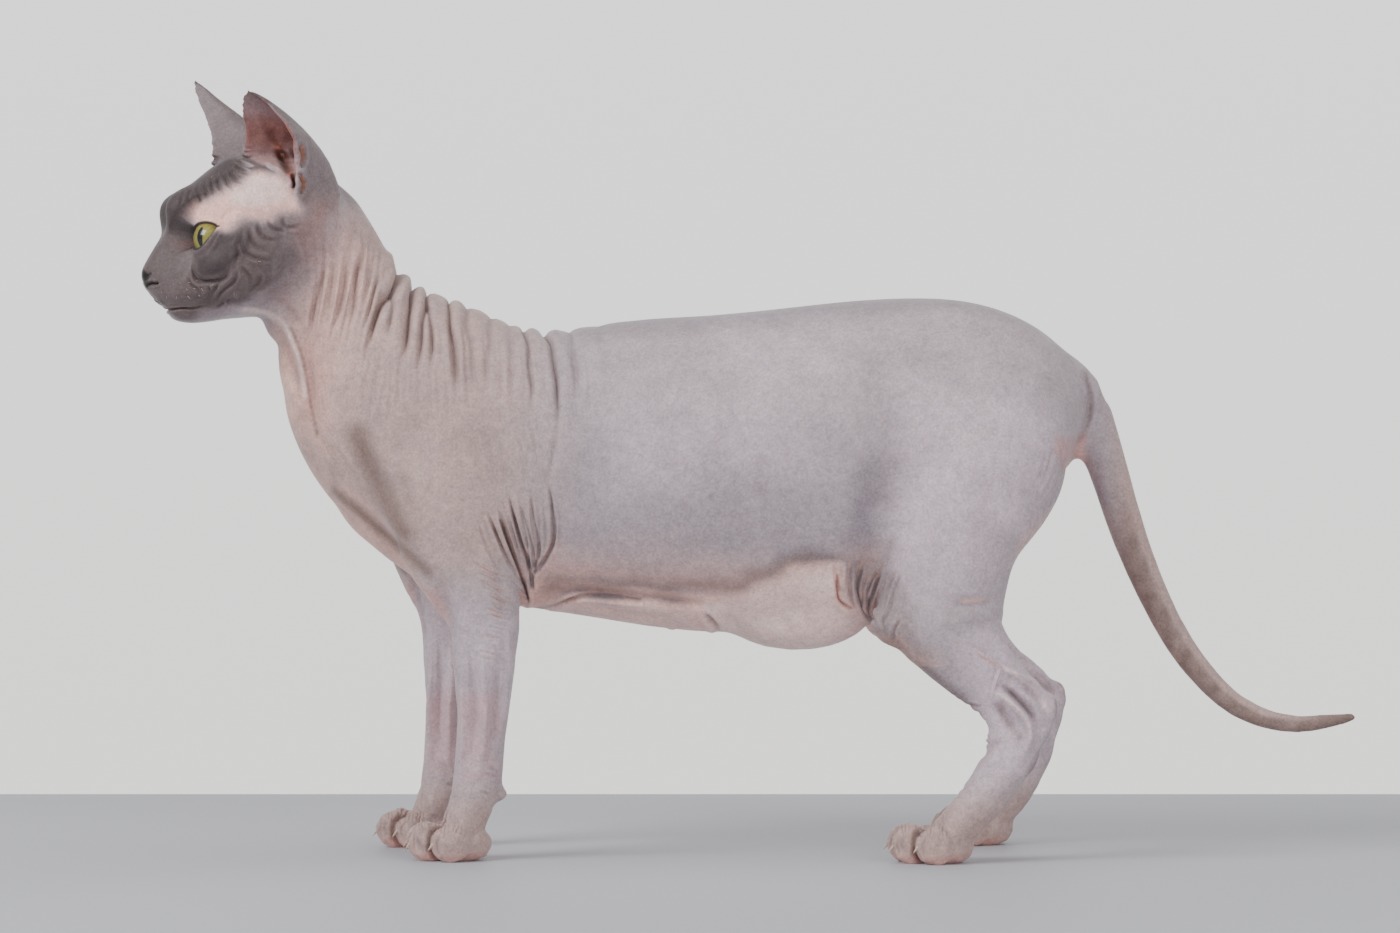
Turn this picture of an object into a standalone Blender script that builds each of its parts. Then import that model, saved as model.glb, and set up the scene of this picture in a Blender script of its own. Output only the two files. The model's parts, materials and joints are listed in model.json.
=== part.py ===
"""A life-size sphynx cat that stands still, its head turned a little to its left.

The cat faces -X, its left side is -Y and the floor is Z = 0. Sizes are millimetres until the last
step. The body is shaped whole from lofts and ellipsoids that blend into one skin, and is then
parted with thin flat cuts.
"""

import math

import bmesh
import bpy
import numpy as np
from mathutils import Matrix, Vector

MM = 0.001
GAP = 0.3
# The middle of the outline box, from nose to tail tip, is the origin.
CENTRE = Vector((24.15, 0.0, 0.0))

LEFT, RIGHT = -1, 1
SIDES = {"left": LEFT, "right": RIGHT}
ACROSS = Vector((0, 1, 0))
UP = Vector((0, 0, 1))

# The head turns about the top of the neck.
HEAD_YAW = math.radians(14)
HEAD_PIVOT = Vector((-175, 0, 0))

EYE_RADIUS = 10.4
EYE_CENTRE = Vector((-230.2, 19.0, 287.0))
EYE_GAZE = Vector((-0.86, 0.50, 0.04))
EYE_TILT = math.radians(20)
LID_THICKNESS = 1.4
# How far round the eyeball the lids reach, as the cosine of the angle from the gaze.
LID_EDGE_INSIDE = 0.1
LID_EDGE_OUTSIDE = 0.42
LID_EDGE_SOFTNESS = 0.4
# The opening between the lids: where its middle lies, half its length, and its rise and fall.
OPENING_MIDDLE = (-0.3, 1.5)
OPENING_HALF_LENGTH = 8.6
OPENING_RISE = 5.7
OPENING_FALL = 5.4

SKIN_VOXEL = 1.2
# Shares of the fine skin's triangles that the head and the body keep.
HEAD_SHARE = 0.064
BODY_SHARE = 0.015

# Rump to head: back x, back z, belly x, belly z, half width, fullness.
TRUNK = (
    (180.0, 212.0, 176.5, 199.0, 9.0, 2.0),
    (174.8, 231.0, 172.5, 181.0, 29.0, 2.0),
    (160.7, 245.4, 154.0, 160.0, 41.0, 2.1),
    (141.0, 255.3, 141.0, 135.0, 48.0, 2.15),
    (117.5, 260.0, 118.4, 121.5, 52.0, 2.2),
    (94.0, 260.7, 96.4, 114.5, 55.0, 2.2),
    (70.5, 259.1, 74.3, 108.0, 57.0, 2.2),
    (47.0, 256.7, 49.4, 104.5, 58.0, 2.2),
    (23.5, 254.4, 24.4, 104.0, 58.0, 2.2),
    (0.0, 252.5, 0.0, 104.5, 57.0, 2.2),
    (-23.5, 251.1, -23.5, 106.8, 55.0, 2.2),
    (-47.0, 248.2, -47.0, 110.3, 52.5, 2.2),
    (-68.2, 244.7, -69.6, 114.0, 50.0, 2.15),
    (-84.6, 246.8, -89.3, 117.0, 48.0, 2.1),
    (-101.0, 253.9, -110.5, 119.9, 46.0, 2.05),
    (-115.2, 259.5, -131.6, 127.0, 44.5, 2.0),
    (-126.0, 262.4, -150.4, 141.6, 42.0, 2.0),
    (-134.0, 265.2, -169.2, 159.4, 38.0, 2.0),
    (-140.0, 271.8, -184.2, 180.1, 33.0, 2.0),
    (-144.3, 279.7, -193.2, 201.3, 29.5, 2.0),
    (-149.0, 288.2, -197.0, 220.0, 27.5, 2.0),
    (-155.1, 298.1, -201.2, 238.9, 27.5, 2.0),
    (-163.6, 308.9, -206.3, 252.0, 28.5, 2.0),
    (-176.0, 315.0, -207.0, 262.0, 22.0, 2.0),
)

# Muzzle to nape, before the head turns: x, crown z, jaw z, half width, fullness.
SKULL = (
    (-261.5, 274.5, 267.0, 4.0, 2.0),
    (-259.5, 278.0, 263.5, 7.5, 2.1),
    (-256.0, 284.0, 259.5, 10.5, 2.2),
    (-251.0, 292.5, 257.0, 14.0, 2.4),
    (-246.0, 304.0, 256.0, 18.5, 2.5),
    (-240.0, 311.8, 255.5, 23.0, 2.4),
    (-233.0, 318.3, 255.0, 28.0, 2.2),
    (-226.0, 323.0, 254.0, 32.0, 2.1),
    (-218.0, 326.4, 252.5, 34.8, 2.1),
    (-208.0, 328.0, 252.0, 36.0, 2.1),
    (-198.0, 327.5, 254.0, 35.5, 2.1),
    (-188.0, 324.5, 258.0, 33.0, 2.0),
    (-178.0, 318.5, 265.0, 29.0, 2.0),
    (-170.0, 310.0, 275.0, 21.0, 2.0),
    (-165.0, 299.0, 285.0, 10.0, 2.0),
)

# Chin to the angle of the jaw, in the same terms.
JAW = (
    (-249.5, 256.5, 253.5, 4.5, 2.0),
    (-247.0, 259.0, 250.6, 8.0, 2.0),
    (-241.0, 261.0, 248.4, 11.0, 2.1),
    (-233.0, 262.0, 249.0, 13.5, 2.1),
    (-223.0, 263.0, 250.8, 17.5, 2.1),
    (-212.0, 264.0, 251.8, 21.0, 2.1),
    (-200.0, 266.0, 254.0, 20.0, 2.0),
)

# Soft swells and hollows of the head before it turns: centre, reach and height.
HEAD_SWELLS = {
    "whisker_pad": ((-248.0, 10.0, 265.0), (8.5, 7.5, 7.5), 3.2),
    "brow": ((-244.5, 13.0, 301.0), (8.5, 10.5, 10.5), 7.4),
    "cheekbone": ((-219.0, 34.0, 277.0), (12.0, 8.0, 8.5), 2.6),
    "jowl": ((-212.0, 29.0, 262.5), (15.0, 12.0, 9.5), 3.0),
    "under_eye": ((-228.0, 26.0, 274.5), (9.5, 8.5, 6.5), 2.4),
    "temple": ((-209.0, 33.0, 301.0), (13.0, 8.0, 9.0), -2.0),
    "ear_front": ((-223.0, 13.0, 322.0), (10.0, 9.0, 8.0), 2.0),
    "ear_root": ((-200.0, 27.0, 318.0), (17.0, 12.0, 12.0), 4.0),
    "ear_back": ((-184.0, 27.0, 309.0), (12.0, 12.0, 14.0), 5.0),
}
MIDLINE_SWELLS = {
    "stop": ((-250.0, 0.0, 295.0), (7.0, 7.0, 7.0), -1.4),
    "lip_cleft": ((-256.5, 0.0, 260.5), (4.5, 2.2, 4.5), -1.4),
    "nape": ((-176.0, 0.0, 312.0), (12.0, 16.0, 10.0), 2.0),
}
NOSE = ((-258.2, 0.0, 271.0), (4.3, 7.2, 5.0))

# The mouth runs back from the front of the lip, and its corner lifts: x, y, z.
MOUTH = (
    (-258.0, 0.0, 258.0),
    (-254.0, 5.5, 256.6),
    (-248.0, 10.5, 256.2),
    (-240.0, 15.0, 256.2),
    (-233.0, 19.5, 256.6),
    (-227.0, 23.5, 258.2),
)
MOUTH_RADIUS = 1.1
NOSTRIL = ((-262.6, 4.1, 269.3), (-256.5, 8.6, 271.2))
NOSTRIL_RADIUS = 1.35

# Soft swells of the body on the left side: centre, reach and height.
BODY_SWELLS = {
    "shoulder_blade": ((-104.0, 42.0, 215.0), (24.0, 26.0, 34.0), 3.2),
    "shoulder_point": ((-148.0, 36.0, 172.0), (16.0, 18.0, 17.0), 3.0),
    "upper_arm": ((-112.0, 48.0, 150.0), (19.0, 18.0, 22.0), 2.6),
    "haunch": ((120.0, 50.0, 180.0), (32.0, 22.0, 44.0), 4.5),
    "hip_point": ((118.0, 22.0, 255.0), (18.0, 13.0, 12.0), 2.2),
    "waist": ((66.0, 56.0, 196.0), (26.0, 24.0, 40.0), -3.2),
    "flank_fold": ((84.0, 48.0, 128.0), (13.0, 20.0, 18.0), -2.0),
    "ribs": ((-14.0, 56.0, 170.0), (44.0, 26.0, 40.0), 2.0),
    "neck_side": ((-160.0, 26.0, 236.0), (14.0, 14.0, 36.0), 2.0),
    "calf": ((118.0, 52.0, 108.0), (14.0, 12.0, 16.0), 1.8),
}

# Left front leg, shoulder to paw: x, distance from the midline, z, half depth, half width.
FRONT_LEG = (
    (-106.0, 20.0, 214.0, 10.0, 8.0),
    (-112.0, 29.0, 196.0, 22.0, 13.0),
    (-119.0, 34.0, 172.0, 28.0, 15.5),
    (-114.0, 37.0, 148.0, 26.5, 15.5),
    (-104.0, 38.0, 126.0, 21.5, 14.5),
    (-99.9, 37.5, 112.0, 18.2, 13.3),
    (-99.6, 37.0, 98.0, 15.8, 12.0),
    (-99.5, 36.0, 84.0, 13.9, 11.0),
    (-100.5, 35.0, 70.0, 12.7, 10.4),
    (-101.6, 34.5, 57.8, 11.8, 10.1),
    (-102.2, 34.0, 44.0, 11.4, 10.4),
    (-103.2, 34.0, 34.5, 11.2, 10.9),
    (-106.0, 34.0, 25.0, 9.9, 10.9),
    (-109.5, 34.0, 16.0, 9.8, 11.5),
    (-112.0, 34.0, 8.0, 9.0, 12.0),
)
FRONT_PAW = Vector((-113.0, 34.0, 0.0))
WRIST_PAD = Vector((-92.0, 35.5, 30.6))
DEWCLAW = Vector((-108.0, 24.0, 19.5))

# Left hind leg, hip to paw, in the same terms.
HIND_LEG = (
    (136.0, 16.0, 226.0, 16.0, 10.0),
    (138.0, 27.0, 206.0, 33.0, 18.0),
    (130.0, 34.5, 180.0, 38.0, 22.0),
    (116.0, 39.5, 148.0, 30.5, 22.0),
    (113.0, 42.5, 116.0, 27.6, 19.0),
    (119.3, 44.0, 102.5, 23.5, 15.5),
    (127.1, 45.0, 91.0, 18.5, 12.4),
    (139.4, 45.5, 77.5, 14.6, 9.6),
    (146.6, 46.0, 65.5, 14.4, 8.8),
    (145.0, 46.0, 53.5, 13.4, 9.0),
    (138.0, 46.0, 40.5, 11.6, 9.3),
    (126.2, 46.0, 25.0, 9.8, 10.4),
    (117.4, 46.0, 15.5, 9.4, 11.5),
    (111.0, 46.0, 8.0, 8.6, 12.0),
)
HIND_PAW = Vector((109.0, 46.0, 0.0))
HEEL = Vector((156.5, 46.0, 71.5))
FLANK_SKIN = (91.0, 42.0, 111.0)

# The right legs stand apart from the left ones: heights, and how far ahead or behind at each.
HEIGHTS = (0.0, 24.0, 50.0, 75.0, 118.0, 200.0)
FRONT_STRIDE = (-18.5, -18.5, -18.8, -19.0, -17.5, 0.0)
HIND_STRIDE = (25.0, 23.5, 14.8, 11.5, 3.0, 0.0)

# Toes of the left paw, from the paw's middle: ahead, towards the outside, length, width, height.
TOES = (
    (1.5, 11.4, 8.3, 5.3, 9.3),
    (12.3, 5.0, 8.4, 5.4, 9.7),
    (14.3, -4.7, 8.4, 5.4, 9.5),
    (4.5, -11.2, 8.0, 5.1, 8.9),
)
TOE_SINK = 0.9

# Tail, root to tip: x, z, radius.
TAIL = (
    (166.0, 224.0, 14.0),
    (174.0, 218.0, 13.8),
    (181.5, 206.5, 11.6),
    (187.6, 191.0, 10.3),
    (194.0, 171.5, 9.2),
    (200.6, 152.3, 8.3),
    (207.3, 134.7, 7.6),
    (215.4, 116.7, 6.9),
    (225.2, 98.8, 6.3),
    (236.4, 83.9, 5.8),
    (250.0, 70.8, 5.2),
    (265.6, 63.2, 4.6),
    (282.0, 60.5, 4.0),
    (298.5, 62.5, 3.1),
    (308.6, 64.2, 1.9),
)

# Edges of each ear from root to tip, on the turned head: inner edge, ridge of the back, outer edge.
EARS = {
    "left": {
        "inner": (
            (-214.2, -27.0, 315.0),
            (-212.1, -29.0, 328.3),
            (-210.6, -33.0, 336.8),
            (-211.5, -39.0, 345.0),
            (-210.6, -44.0, 351.6),
        ),
        "back": (
            (-167.5, -20.0, 309.0),
            (-173.6, -24.0, 323.5),
            (-181.1, -29.0, 333.4),
            (-188.6, -35.0, 341.4),
            (-197.0, -42.0, 348.7),
        ),
        "outer": (
            (-185.5, -39.0, 302.0),
            (-184.5, -46.0, 321.0),
            (-186.9, -50.0, 334.4),
            (-194.4, -51.0, 344.2),
            (-201.8, -50.0, 351.5),
        ),
        "tip": (-207.2, -48.0, 354.6),
    },
    "right": {
        "inner": (
            (-230.2, 7.0, 315.0),
            (-231.0, 9.5, 327.4),
            (-231.8, 13.0, 338.0),
            (-236.0, 19.0, 348.5),
            (-240.8, 24.5, 359.5),
        ),
        "back": (
            (-195.5, 17.0, 317.0),
            (-201.9, 19.5, 331.1),
            (-210.2, 22.0, 341.3),
            (-221.0, 24.0, 350.3),
            (-232.6, 26.0, 359.5),
        ),
        "outer": (
            (-211.1, 29.5, 300.0),
            (-215.2, 33.5, 318.0),
            (-220.9, 35.6, 334.0),
            (-229.4, 34.0, 349.0),
            (-237.4, 30.4, 360.5),
        ),
        "tip": (-241.8, 26.6, 367.0),
    },
}
EAR_THICKNESS = 1.7

SKIN_GREY = (0.42, 0.35, 0.34)
SKIN_DARK = (0.22, 0.18, 0.18)
SKIN_PINK = (0.58, 0.40, 0.36)
IRIS = (0.48, 0.46, 0.14)
COLOURS = {
    "skin_grey": (SKIN_GREY, 0.62),
    "skin_dark": (SKIN_DARK, 0.6),
    "skin_pink": (SKIN_PINK, 0.6),
    "iris": (IRIS, 0.1),
}


def clear_scene():
    for obj in list(bpy.data.objects):
        bpy.data.objects.remove(obj, do_unlink=True)


def make_materials():
    for name, (colour, roughness) in COLOURS.items():
        made = bpy.data.materials.new(name)
        made.use_nodes = True
        shader = made.node_tree.nodes["Principled BSDF"]
        shader.inputs["Base Color"].default_value = (*colour, 1.0)
        shader.inputs["Roughness"].default_value = roughness


def object_of(name, bm):
    """A new object that holds the bmesh, with its normals facing out."""
    bmesh.ops.recalc_face_normals(bm, faces=bm.faces)
    mesh = bpy.data.meshes.new(name)
    bm.to_mesh(mesh)
    bm.free()
    obj = bpy.data.objects.new(name, mesh)
    bpy.context.collection.objects.link(obj)
    return obj


def removed(obj):
    bpy.data.objects.remove(obj, do_unlink=True)


def smoothed(rows, steps):
    """Rows between the given ones, on a Catmull-Rom curve through them."""
    rows = np.array(rows, float)
    padded = np.vstack((2 * rows[0] - rows[1], rows, 2 * rows[-1] - rows[-2]))
    out = []
    for i in range(len(rows) - 1):
        before, start, end, after = padded[i : i + 4]
        for t in np.arange(steps) / steps:
            bend = 2 * before - 5 * start + 4 * end - after
            twist = 3 * start - before - 3 * end + after
            out.append(0.5 * (2 * start + (end - before) * t + bend * t**2 + twist * t**3))
    out.append(rows[-1])
    return np.array(out)


def oval(centre, across, up, half_width, half_height, fullness=2.0, sides=28):
    """A ring of points round an oval. Fullness 2 is an ellipse and more is squarer."""
    ring = []
    for i in range(sides):
        angle = 2 * math.pi * i / sides
        c, s = math.cos(angle), math.sin(angle)
        reach_across = math.copysign(abs(c) ** (2 / fullness), c) * half_width
        reach_up = math.copysign(abs(s) ** (2 / fullness), s) * half_height
        ring.append(centre + across * reach_across + up * reach_up)
    return ring


def loft(name, rings):
    """A closed tube through rings of as many points each."""
    bm = bmesh.new()
    rows = [[bm.verts.new(p) for p in ring] for ring in rings]
    count = len(rows[0])
    for a, b in zip(rows, rows[1:]):
        for i in range(count):
            j = (i + 1) % count
            bm.faces.new((a[i], a[j], b[j], b[i]))
    bm.faces.new(rows[0])
    bm.faces.new(rows[-1])
    return object_of(name, bm)


def ellipsoid(name, centre, radii, segments=24, rings=14):
    bm = bmesh.new()
    place = Matrix.Translation(centre) @ Matrix.Diagonal((*radii, 1))
    bmesh.ops.create_uvsphere(bm, u_segments=segments, v_segments=rings, radius=1, matrix=place)
    return object_of(name, bm)


def limb(name, rows, sides=28, steps=4):
    """A tube along rows of x, y, z, half depth and half width, its rings square to its path."""
    rows = smoothed(rows, steps)
    path = rows[:, :3]
    rings = []
    for i, (x, y, z, depth, width) in enumerate(rows):
        along = Vector(path[min(i + 1, len(path) - 1)] - path[max(i - 1, 0)]).normalized()
        front = ACROSS.cross(along).normalized()
        across = along.cross(front).normalized()
        rings.append(oval(Vector((x, y, z)), across, front, width, depth, sides=sides))
    return loft(name, rings)


def make_trunk():
    rings = []
    for bx, bz, vx, vz, half_width, fullness in smoothed(TRUNK, 3):
        back, belly = Vector((bx, 0, bz)), Vector((vx, 0, vz))
        up = (back - belly).normalized()
        half_height = (back - belly).length / 2
        middle = (back + belly) / 2
        rings.append(oval(middle, ACROSS, up, half_width, half_height, fullness, 40))
    return loft("trunk_form", rings)


def head_turn(part=4):
    """The turn of the head, as a matrix for places or, with part 3, for directions."""
    turn = Matrix.Rotation(HEAD_YAW, part, "Z")
    if part == 3:
        return turn
    return Matrix.Translation(HEAD_PIVOT) @ turn @ Matrix.Translation(-HEAD_PIVOT)


def sided(point, side):
    return Vector((point[0], side * point[1], point[2]))


def make_head_forms():
    forms = [ellipsoid("nose_form", Vector(NOSE[0]), NOSE[1])]
    for name, stations in (("skull_form", SKULL), ("jaw_form", JAW)):
        rings = []
        for x, top, bottom, half_width, fullness in smoothed(stations, 3):
            middle = Vector((x, 0, (top + bottom) / 2))
            half_height = (top - bottom) / 2
            rings.append(oval(middle, ACROSS, UP, half_width, half_height, fullness, 36))
        forms.append(loft(name, rings))
    for form in forms:
        form.data.transform(head_turn())
    return forms


def strode(rows, side, stride):
    """A leg's rows on one side, with the right leg a stride apart from the left."""
    out = []
    for x, y, z, depth, width in rows:
        shift = np.interp(z, HEIGHTS, stride) if side == RIGHT else 0.0
        out.append((x + shift, side * y, z, depth, width))
    return out


def step_of(place, side, stride):
    """Where a place on the left leg lies on the given side's leg."""
    shift = np.interp(place.z, HEIGHTS, stride) if side == RIGHT else 0.0
    return Vector((place.x + shift, side * place.y, place.z))


def make_paw(name, place, side):
    """Four toes round a main pad."""
    forms = [
        ellipsoid(name, place + Vector((2.0, 0, 7.5)), (15.0, 12.5, 9.0)),
        ellipsoid(name, place + Vector((-7.5, 0, 4.2)), (8.0, 10.0, 5.2)),
    ]
    for ahead, outside, length, width, height in TOES:
        toe = place + Vector((-ahead, side * outside, height - TOE_SINK))
        forms.append(ellipsoid(name, toe, (length, width, height)))
    return forms


def make_legs():
    forms = []
    for side in SIDES.values():
        forms.append(limb("front_leg_form", strode(FRONT_LEG, side, FRONT_STRIDE)))
        forms.append(limb("hind_leg_form", strode(HIND_LEG, side, HIND_STRIDE)))
        forms += make_paw("front_paw_form", step_of(FRONT_PAW, side, FRONT_STRIDE), side)
        forms += make_paw("hind_paw_form", step_of(HIND_PAW, side, HIND_STRIDE), side)
        wrist_pad = step_of(WRIST_PAD, side, FRONT_STRIDE)
        forms.append(ellipsoid("wrist_pad", wrist_pad, (3.8, 3.2, 3.6)))
        dewclaw = step_of(DEWCLAW, side, FRONT_STRIDE)
        forms.append(ellipsoid("dewclaw", dewclaw, (4.2, 3.6, 5.2)))
        heel = step_of(HEEL, side, HIND_STRIDE)
        forms.append(ellipsoid("heel", heel, (8.8, 6.2, 8.2)))
    return forms


def make_tail_form():
    rows = [(x, 0.0, z, radius, radius) for x, z, radius in TAIL]
    return limb("tail_form", rows, sides=20, steps=3)


def make_belly_forms():
    """The loose skin ahead of the hind legs, and the seat and the soft lump below the tail."""
    flanks = [
        ellipsoid("flank_skin", sided(FLANK_SKIN, side), (14.5, 15.0, 13.0)) for side in SIDES.values()
    ]
    return flanks + [
        ellipsoid("belly_pouch", Vector((45.5, 0, 114.0)), (36.0, 32.0, 18.6)),
        ellipsoid("seat", Vector((168.0, 0, 197.0)), (9.0, 13.0, 15.0)),
        ellipsoid("under_tail", Vector((171.5, 0, 187.5)), (5.0, 7.0, 6.8)),
    ]


def joined(name, forms):
    """One object that holds all the forms' faces."""
    bm = bmesh.new()
    for form in forms:
        bm.from_mesh(form.data)
        removed(form)
    return object_of(name, bm)


def settled(obj):
    """Turns the object's modifiers into its mesh."""
    graph = bpy.context.evaluated_depsgraph_get()
    mesh = bpy.data.meshes.new_from_object(obj.evaluated_get(graph))
    obj.modifiers.clear()
    obj.data = mesh
    return obj


def points_of(obj):
    flat = np.empty(len(obj.data.vertices) * 3, np.float32)
    obj.data.vertices.foreach_get("co", flat)
    return flat.reshape(-1, 3).astype(float)


def normals_of(obj):
    flat = np.empty(len(obj.data.vertices) * 3, np.float32)
    obj.data.vertices.foreach_get("normal", flat)
    return flat.reshape(-1, 3).astype(float)


def place_points(obj, points):
    obj.data.vertices.foreach_set("co", points.astype(np.float32).ravel())
    obj.data.update()


def smooth_shares(points):
    """How much each point is smoothed: much on the trunk, little on the face, paws and tail."""
    x, _, z = points.T
    face = np.clip((-192.0 - x) / 16.0, 0, 1) * np.clip((z - 244.0) / 8.0, 0, 1)
    leg = np.clip((112.0 - z) / 26.0, 0, 1)
    tail = np.clip((x - 182.0) / 8.0, 0, 1)
    return 1 - np.maximum(np.maximum(face, leg), tail)


def smooth(obj, factor, iterations, shares=None):
    modifier = obj.modifiers.new("smooth", "SMOOTH")
    modifier.factor = factor
    modifier.iterations = iterations
    if shares is not None:
        group = obj.vertex_groups.new(name="shares")
        levels = np.round(shares, 1)
        for level in np.unique(levels):
            group.add(np.flatnonzero(levels == level).tolist(), float(level), "REPLACE")
        modifier.vertex_group = group.name
    settled(obj)
    obj.vertex_groups.clear()


def blended(obj):
    """Blends the overlapping forms into one skin, with soft hollows where they meet."""
    remesh = obj.modifiers.new("skin", "REMESH")
    remesh.mode = "VOXEL"
    remesh.voxel_size = SKIN_VOXEL
    settled(obj)
    smooth(obj, 0.5, 4)
    smooth(obj, 0.6, 110, smooth_shares(points_of(obj)))
    return obj


def swell(obj, swells, place):
    """Pushes the skin out, or in, round each centre, on both sides."""
    points, normals = points_of(obj), normals_of(obj)
    rise = np.zeros(len(points))
    for centre, reach, height in swells.values():
        for side in SIDES.values() if centre[1] else (LEFT,):
            middle = np.array(place(sided(centre, side)))
            away = ((points - middle) / np.array(reach)) ** 2
            rise += height * np.exp(-away.sum(axis=1))
    place_points(obj, points + normals * rise[:, None])


def eye_axes(side):
    """Centre of an eye on the turned head, its gaze, and its axes to the raised outer corner and up."""
    centre = head_turn() @ sided(EYE_CENTRE, side)
    gaze = (head_turn(3) @ sided(EYE_GAZE, side)).normalized()
    up = (UP - gaze * gaze.z).normalized()
    outward = gaze.cross(up) * side
    tilted = outward * math.cos(EYE_TILT) + up * math.sin(EYE_TILT)
    raised = up * math.cos(EYE_TILT) - outward * math.sin(EYE_TILT)
    return centre, gaze, tilted, raised


def shape_lids(obj):
    """Lays the skin round each eye over the eyeball, as lids.

    Skin that lies inside the lids' radius is raised over more of the eyeball than skin outside it
    is sunk, so that the nose and brow keep their form.
    """
    points = points_of(obj)
    lid_radius = EYE_RADIUS + LID_THICKNESS
    for side in SIDES.values():
        centre, gaze, _, _ = eye_axes(side)
        away = points - np.array(centre)
        distance = np.linalg.norm(away, axis=1)
        facing = away @ np.array(gaze) / np.maximum(distance, 1e-6)
        edge = np.where(distance < lid_radius, LID_EDGE_INSIDE, LID_EDGE_OUTSIDE)
        share = np.clip((facing - edge) / LID_EDGE_SOFTNESS, 0, 1)
        share = share * share * (3 - 2 * share)
        share[distance > EYE_RADIUS * 2] = 0
        pulled = distance + (lid_radius - distance) * share
        points = np.array(centre) + away * (pulled / np.maximum(distance, 1e-6))[:, None]
    place_points(obj, points)


def thinned(obj, share):
    """Leaves a share of the triangles, fewest where the skin is flattest."""
    thin = obj.modifiers.new("thin", "DECIMATE")
    thin.ratio = share
    return settled(obj)


def combined(obj, tool, operation):
    """The object cut, kept or joined by the tool, which is then removed."""
    boolean = obj.modifiers.new("tool", "BOOLEAN")
    boolean.object = tool
    boolean.operation = operation
    boolean.solver = "MANIFOLD"
    settled(obj)
    removed(tool)
    return obj


def slab(centre, normal, along, half_along, half_across, thickness):
    """A box with its faces square to the normal."""
    normal = Vector(normal).normalized()
    along = Vector(along)
    along = (along - normal * along.dot(normal)).normalized()
    across = normal.cross(along)
    axes = Matrix((along * half_along, across * half_across, normal * thickness / 2)).transposed()
    bm = bmesh.new()
    bmesh.ops.create_cube(bm, size=2, matrix=Matrix.Translation(centre) @ axes.to_4x4())
    return object_of("slab", bm)


def loose_pieces(obj):
    """Each closed surface of the object as an object of its own, the largest first."""
    bm = bmesh.new()
    bm.from_mesh(obj.data)
    bm.verts.ensure_lookup_table()
    seen, groups = set(), []
    for start in bm.verts:
        if start.index in seen:
            continue
        seen.add(start.index)
        group, edge_of_group = [start], [start]
        while edge_of_group:
            vert = edge_of_group.pop()
            for edge in vert.link_edges:
                other = edge.other_vert(vert)
                if other.index not in seen:
                    seen.add(other.index)
                    group.append(other)
                    edge_of_group.append(other)
        groups.append(group)
    groups.sort(key=len, reverse=True)
    pieces = []
    for group in groups:
        piece = bmesh.new()
        copies = {v.index: piece.verts.new(v.co) for v in group}
        for face in {f for v in group for f in v.link_faces}:
            piece.faces.new([copies[v.index] for v in face.verts])
        pieces.append(object_of(obj.name, piece))
    bm.free()
    removed(obj)
    return pieces


def largest(obj):
    pieces = loose_pieces(obj)
    for scrap in pieces[1:]:
        removed(scrap)
    return pieces[0]


def cut_off(obj, name, centre, normal, half_size):
    """Parts the object with a thin cut, and returns the piece on the normal's side and the rest."""
    centre, normal = Vector(centre), Vector(normal).normalized()
    along = ACROSS if abs(normal.y) < 0.9 else UP
    combined(obj, slab(centre, normal, along, half_size, half_size, GAP), "DIFFERENCE")
    pieces = loose_pieces(obj)
    for scrap in pieces[2:]:
        removed(scrap)
    if len(pieces) < 2:
        raise RuntimeError(f"the cut that frees {name} doesn't reach through")
    rest, piece = sorted(
        pieces[:2],
        key=lambda piece: (Vector(points_of(piece).mean(axis=0)) - centre).dot(normal),
    )
    return piece, rest


def half_space(point, normal, size=1000.0):
    """A large box that fills the side of a plane that the normal points to."""
    point, normal = Vector(point), Vector(normal).normalized()
    return slab(point + normal * size / 2, normal, ACROSS, size, size, size)


def copy_of(obj, name):
    twin = bpy.data.objects.new(name, obj.data.copy())
    bpy.context.collection.objects.link(twin)
    return twin


def tube(name, path, radius, sides=8):
    """A closed round tube through the points of a path."""
    path = [Vector(p) for p in path]
    rings = []
    for i, point in enumerate(path):
        along = (path[min(i + 1, len(path) - 1)] - path[max(i - 1, 0)]).normalized()
        across = along.cross(UP).normalized()
        rings.append(oval(point, across, across.cross(along), radius, radius, sides=sides))
    return loft(name, rings)


def cut_mouth_and_nostrils(head):
    for side in SIDES.values():
        line = [head_turn() @ sided(p, side) for p in smoothed(MOUTH, 2)]
        combined(head, tube("mouth_line", line, MOUTH_RADIUS), "DIFFERENCE")
        hole = [head_turn() @ sided(p, side) for p in NOSTRIL]
        combined(head, tube("nostril", hole, NOSTRIL_RADIUS), "DIFFERENCE")


def lid_opening(side):
    """An almond bar along the gaze, which opens the lids."""
    centre, gaze, outward, up = eye_axes(side)
    middle = centre + outward * OPENING_MIDDLE[0] + up * OPENING_MIDDLE[1]
    steps = 20
    rings = []
    for depth in (EYE_RADIUS * 0.25, EYE_RADIUS * 1.6):
        ring = []
        for i in range(steps):
            angle = 2 * math.pi * i / steps
            height = OPENING_RISE if math.sin(angle) > 0 else OPENING_FALL
            rise = math.sin(angle) * abs(math.sin(angle)) ** 0.3 * height
            reach = outward * math.cos(angle) * OPENING_HALF_LENGTH
            ring.append(middle + gaze * depth + reach + up * rise)
        rings.append(ring)
    return loft("lid_opening", rings)


def make_eyes(head):
    """Opens the lids, hollows the sockets, and makes the eyeballs that fill them."""
    eyes = {}
    for label, side in SIDES.items():
        centre = eye_axes(side)[0]
        combined(head, lid_opening(side), "DIFFERENCE")
        socket = EYE_RADIUS + GAP
        combined(head, ellipsoid("socket", centre, (socket,) * 3, 20, 12), "DIFFERENCE")
        eyes[f"eye_{label}"] = ellipsoid("eye", centre, (EYE_RADIUS,) * 3, 20, 12)
    return eyes


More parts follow.
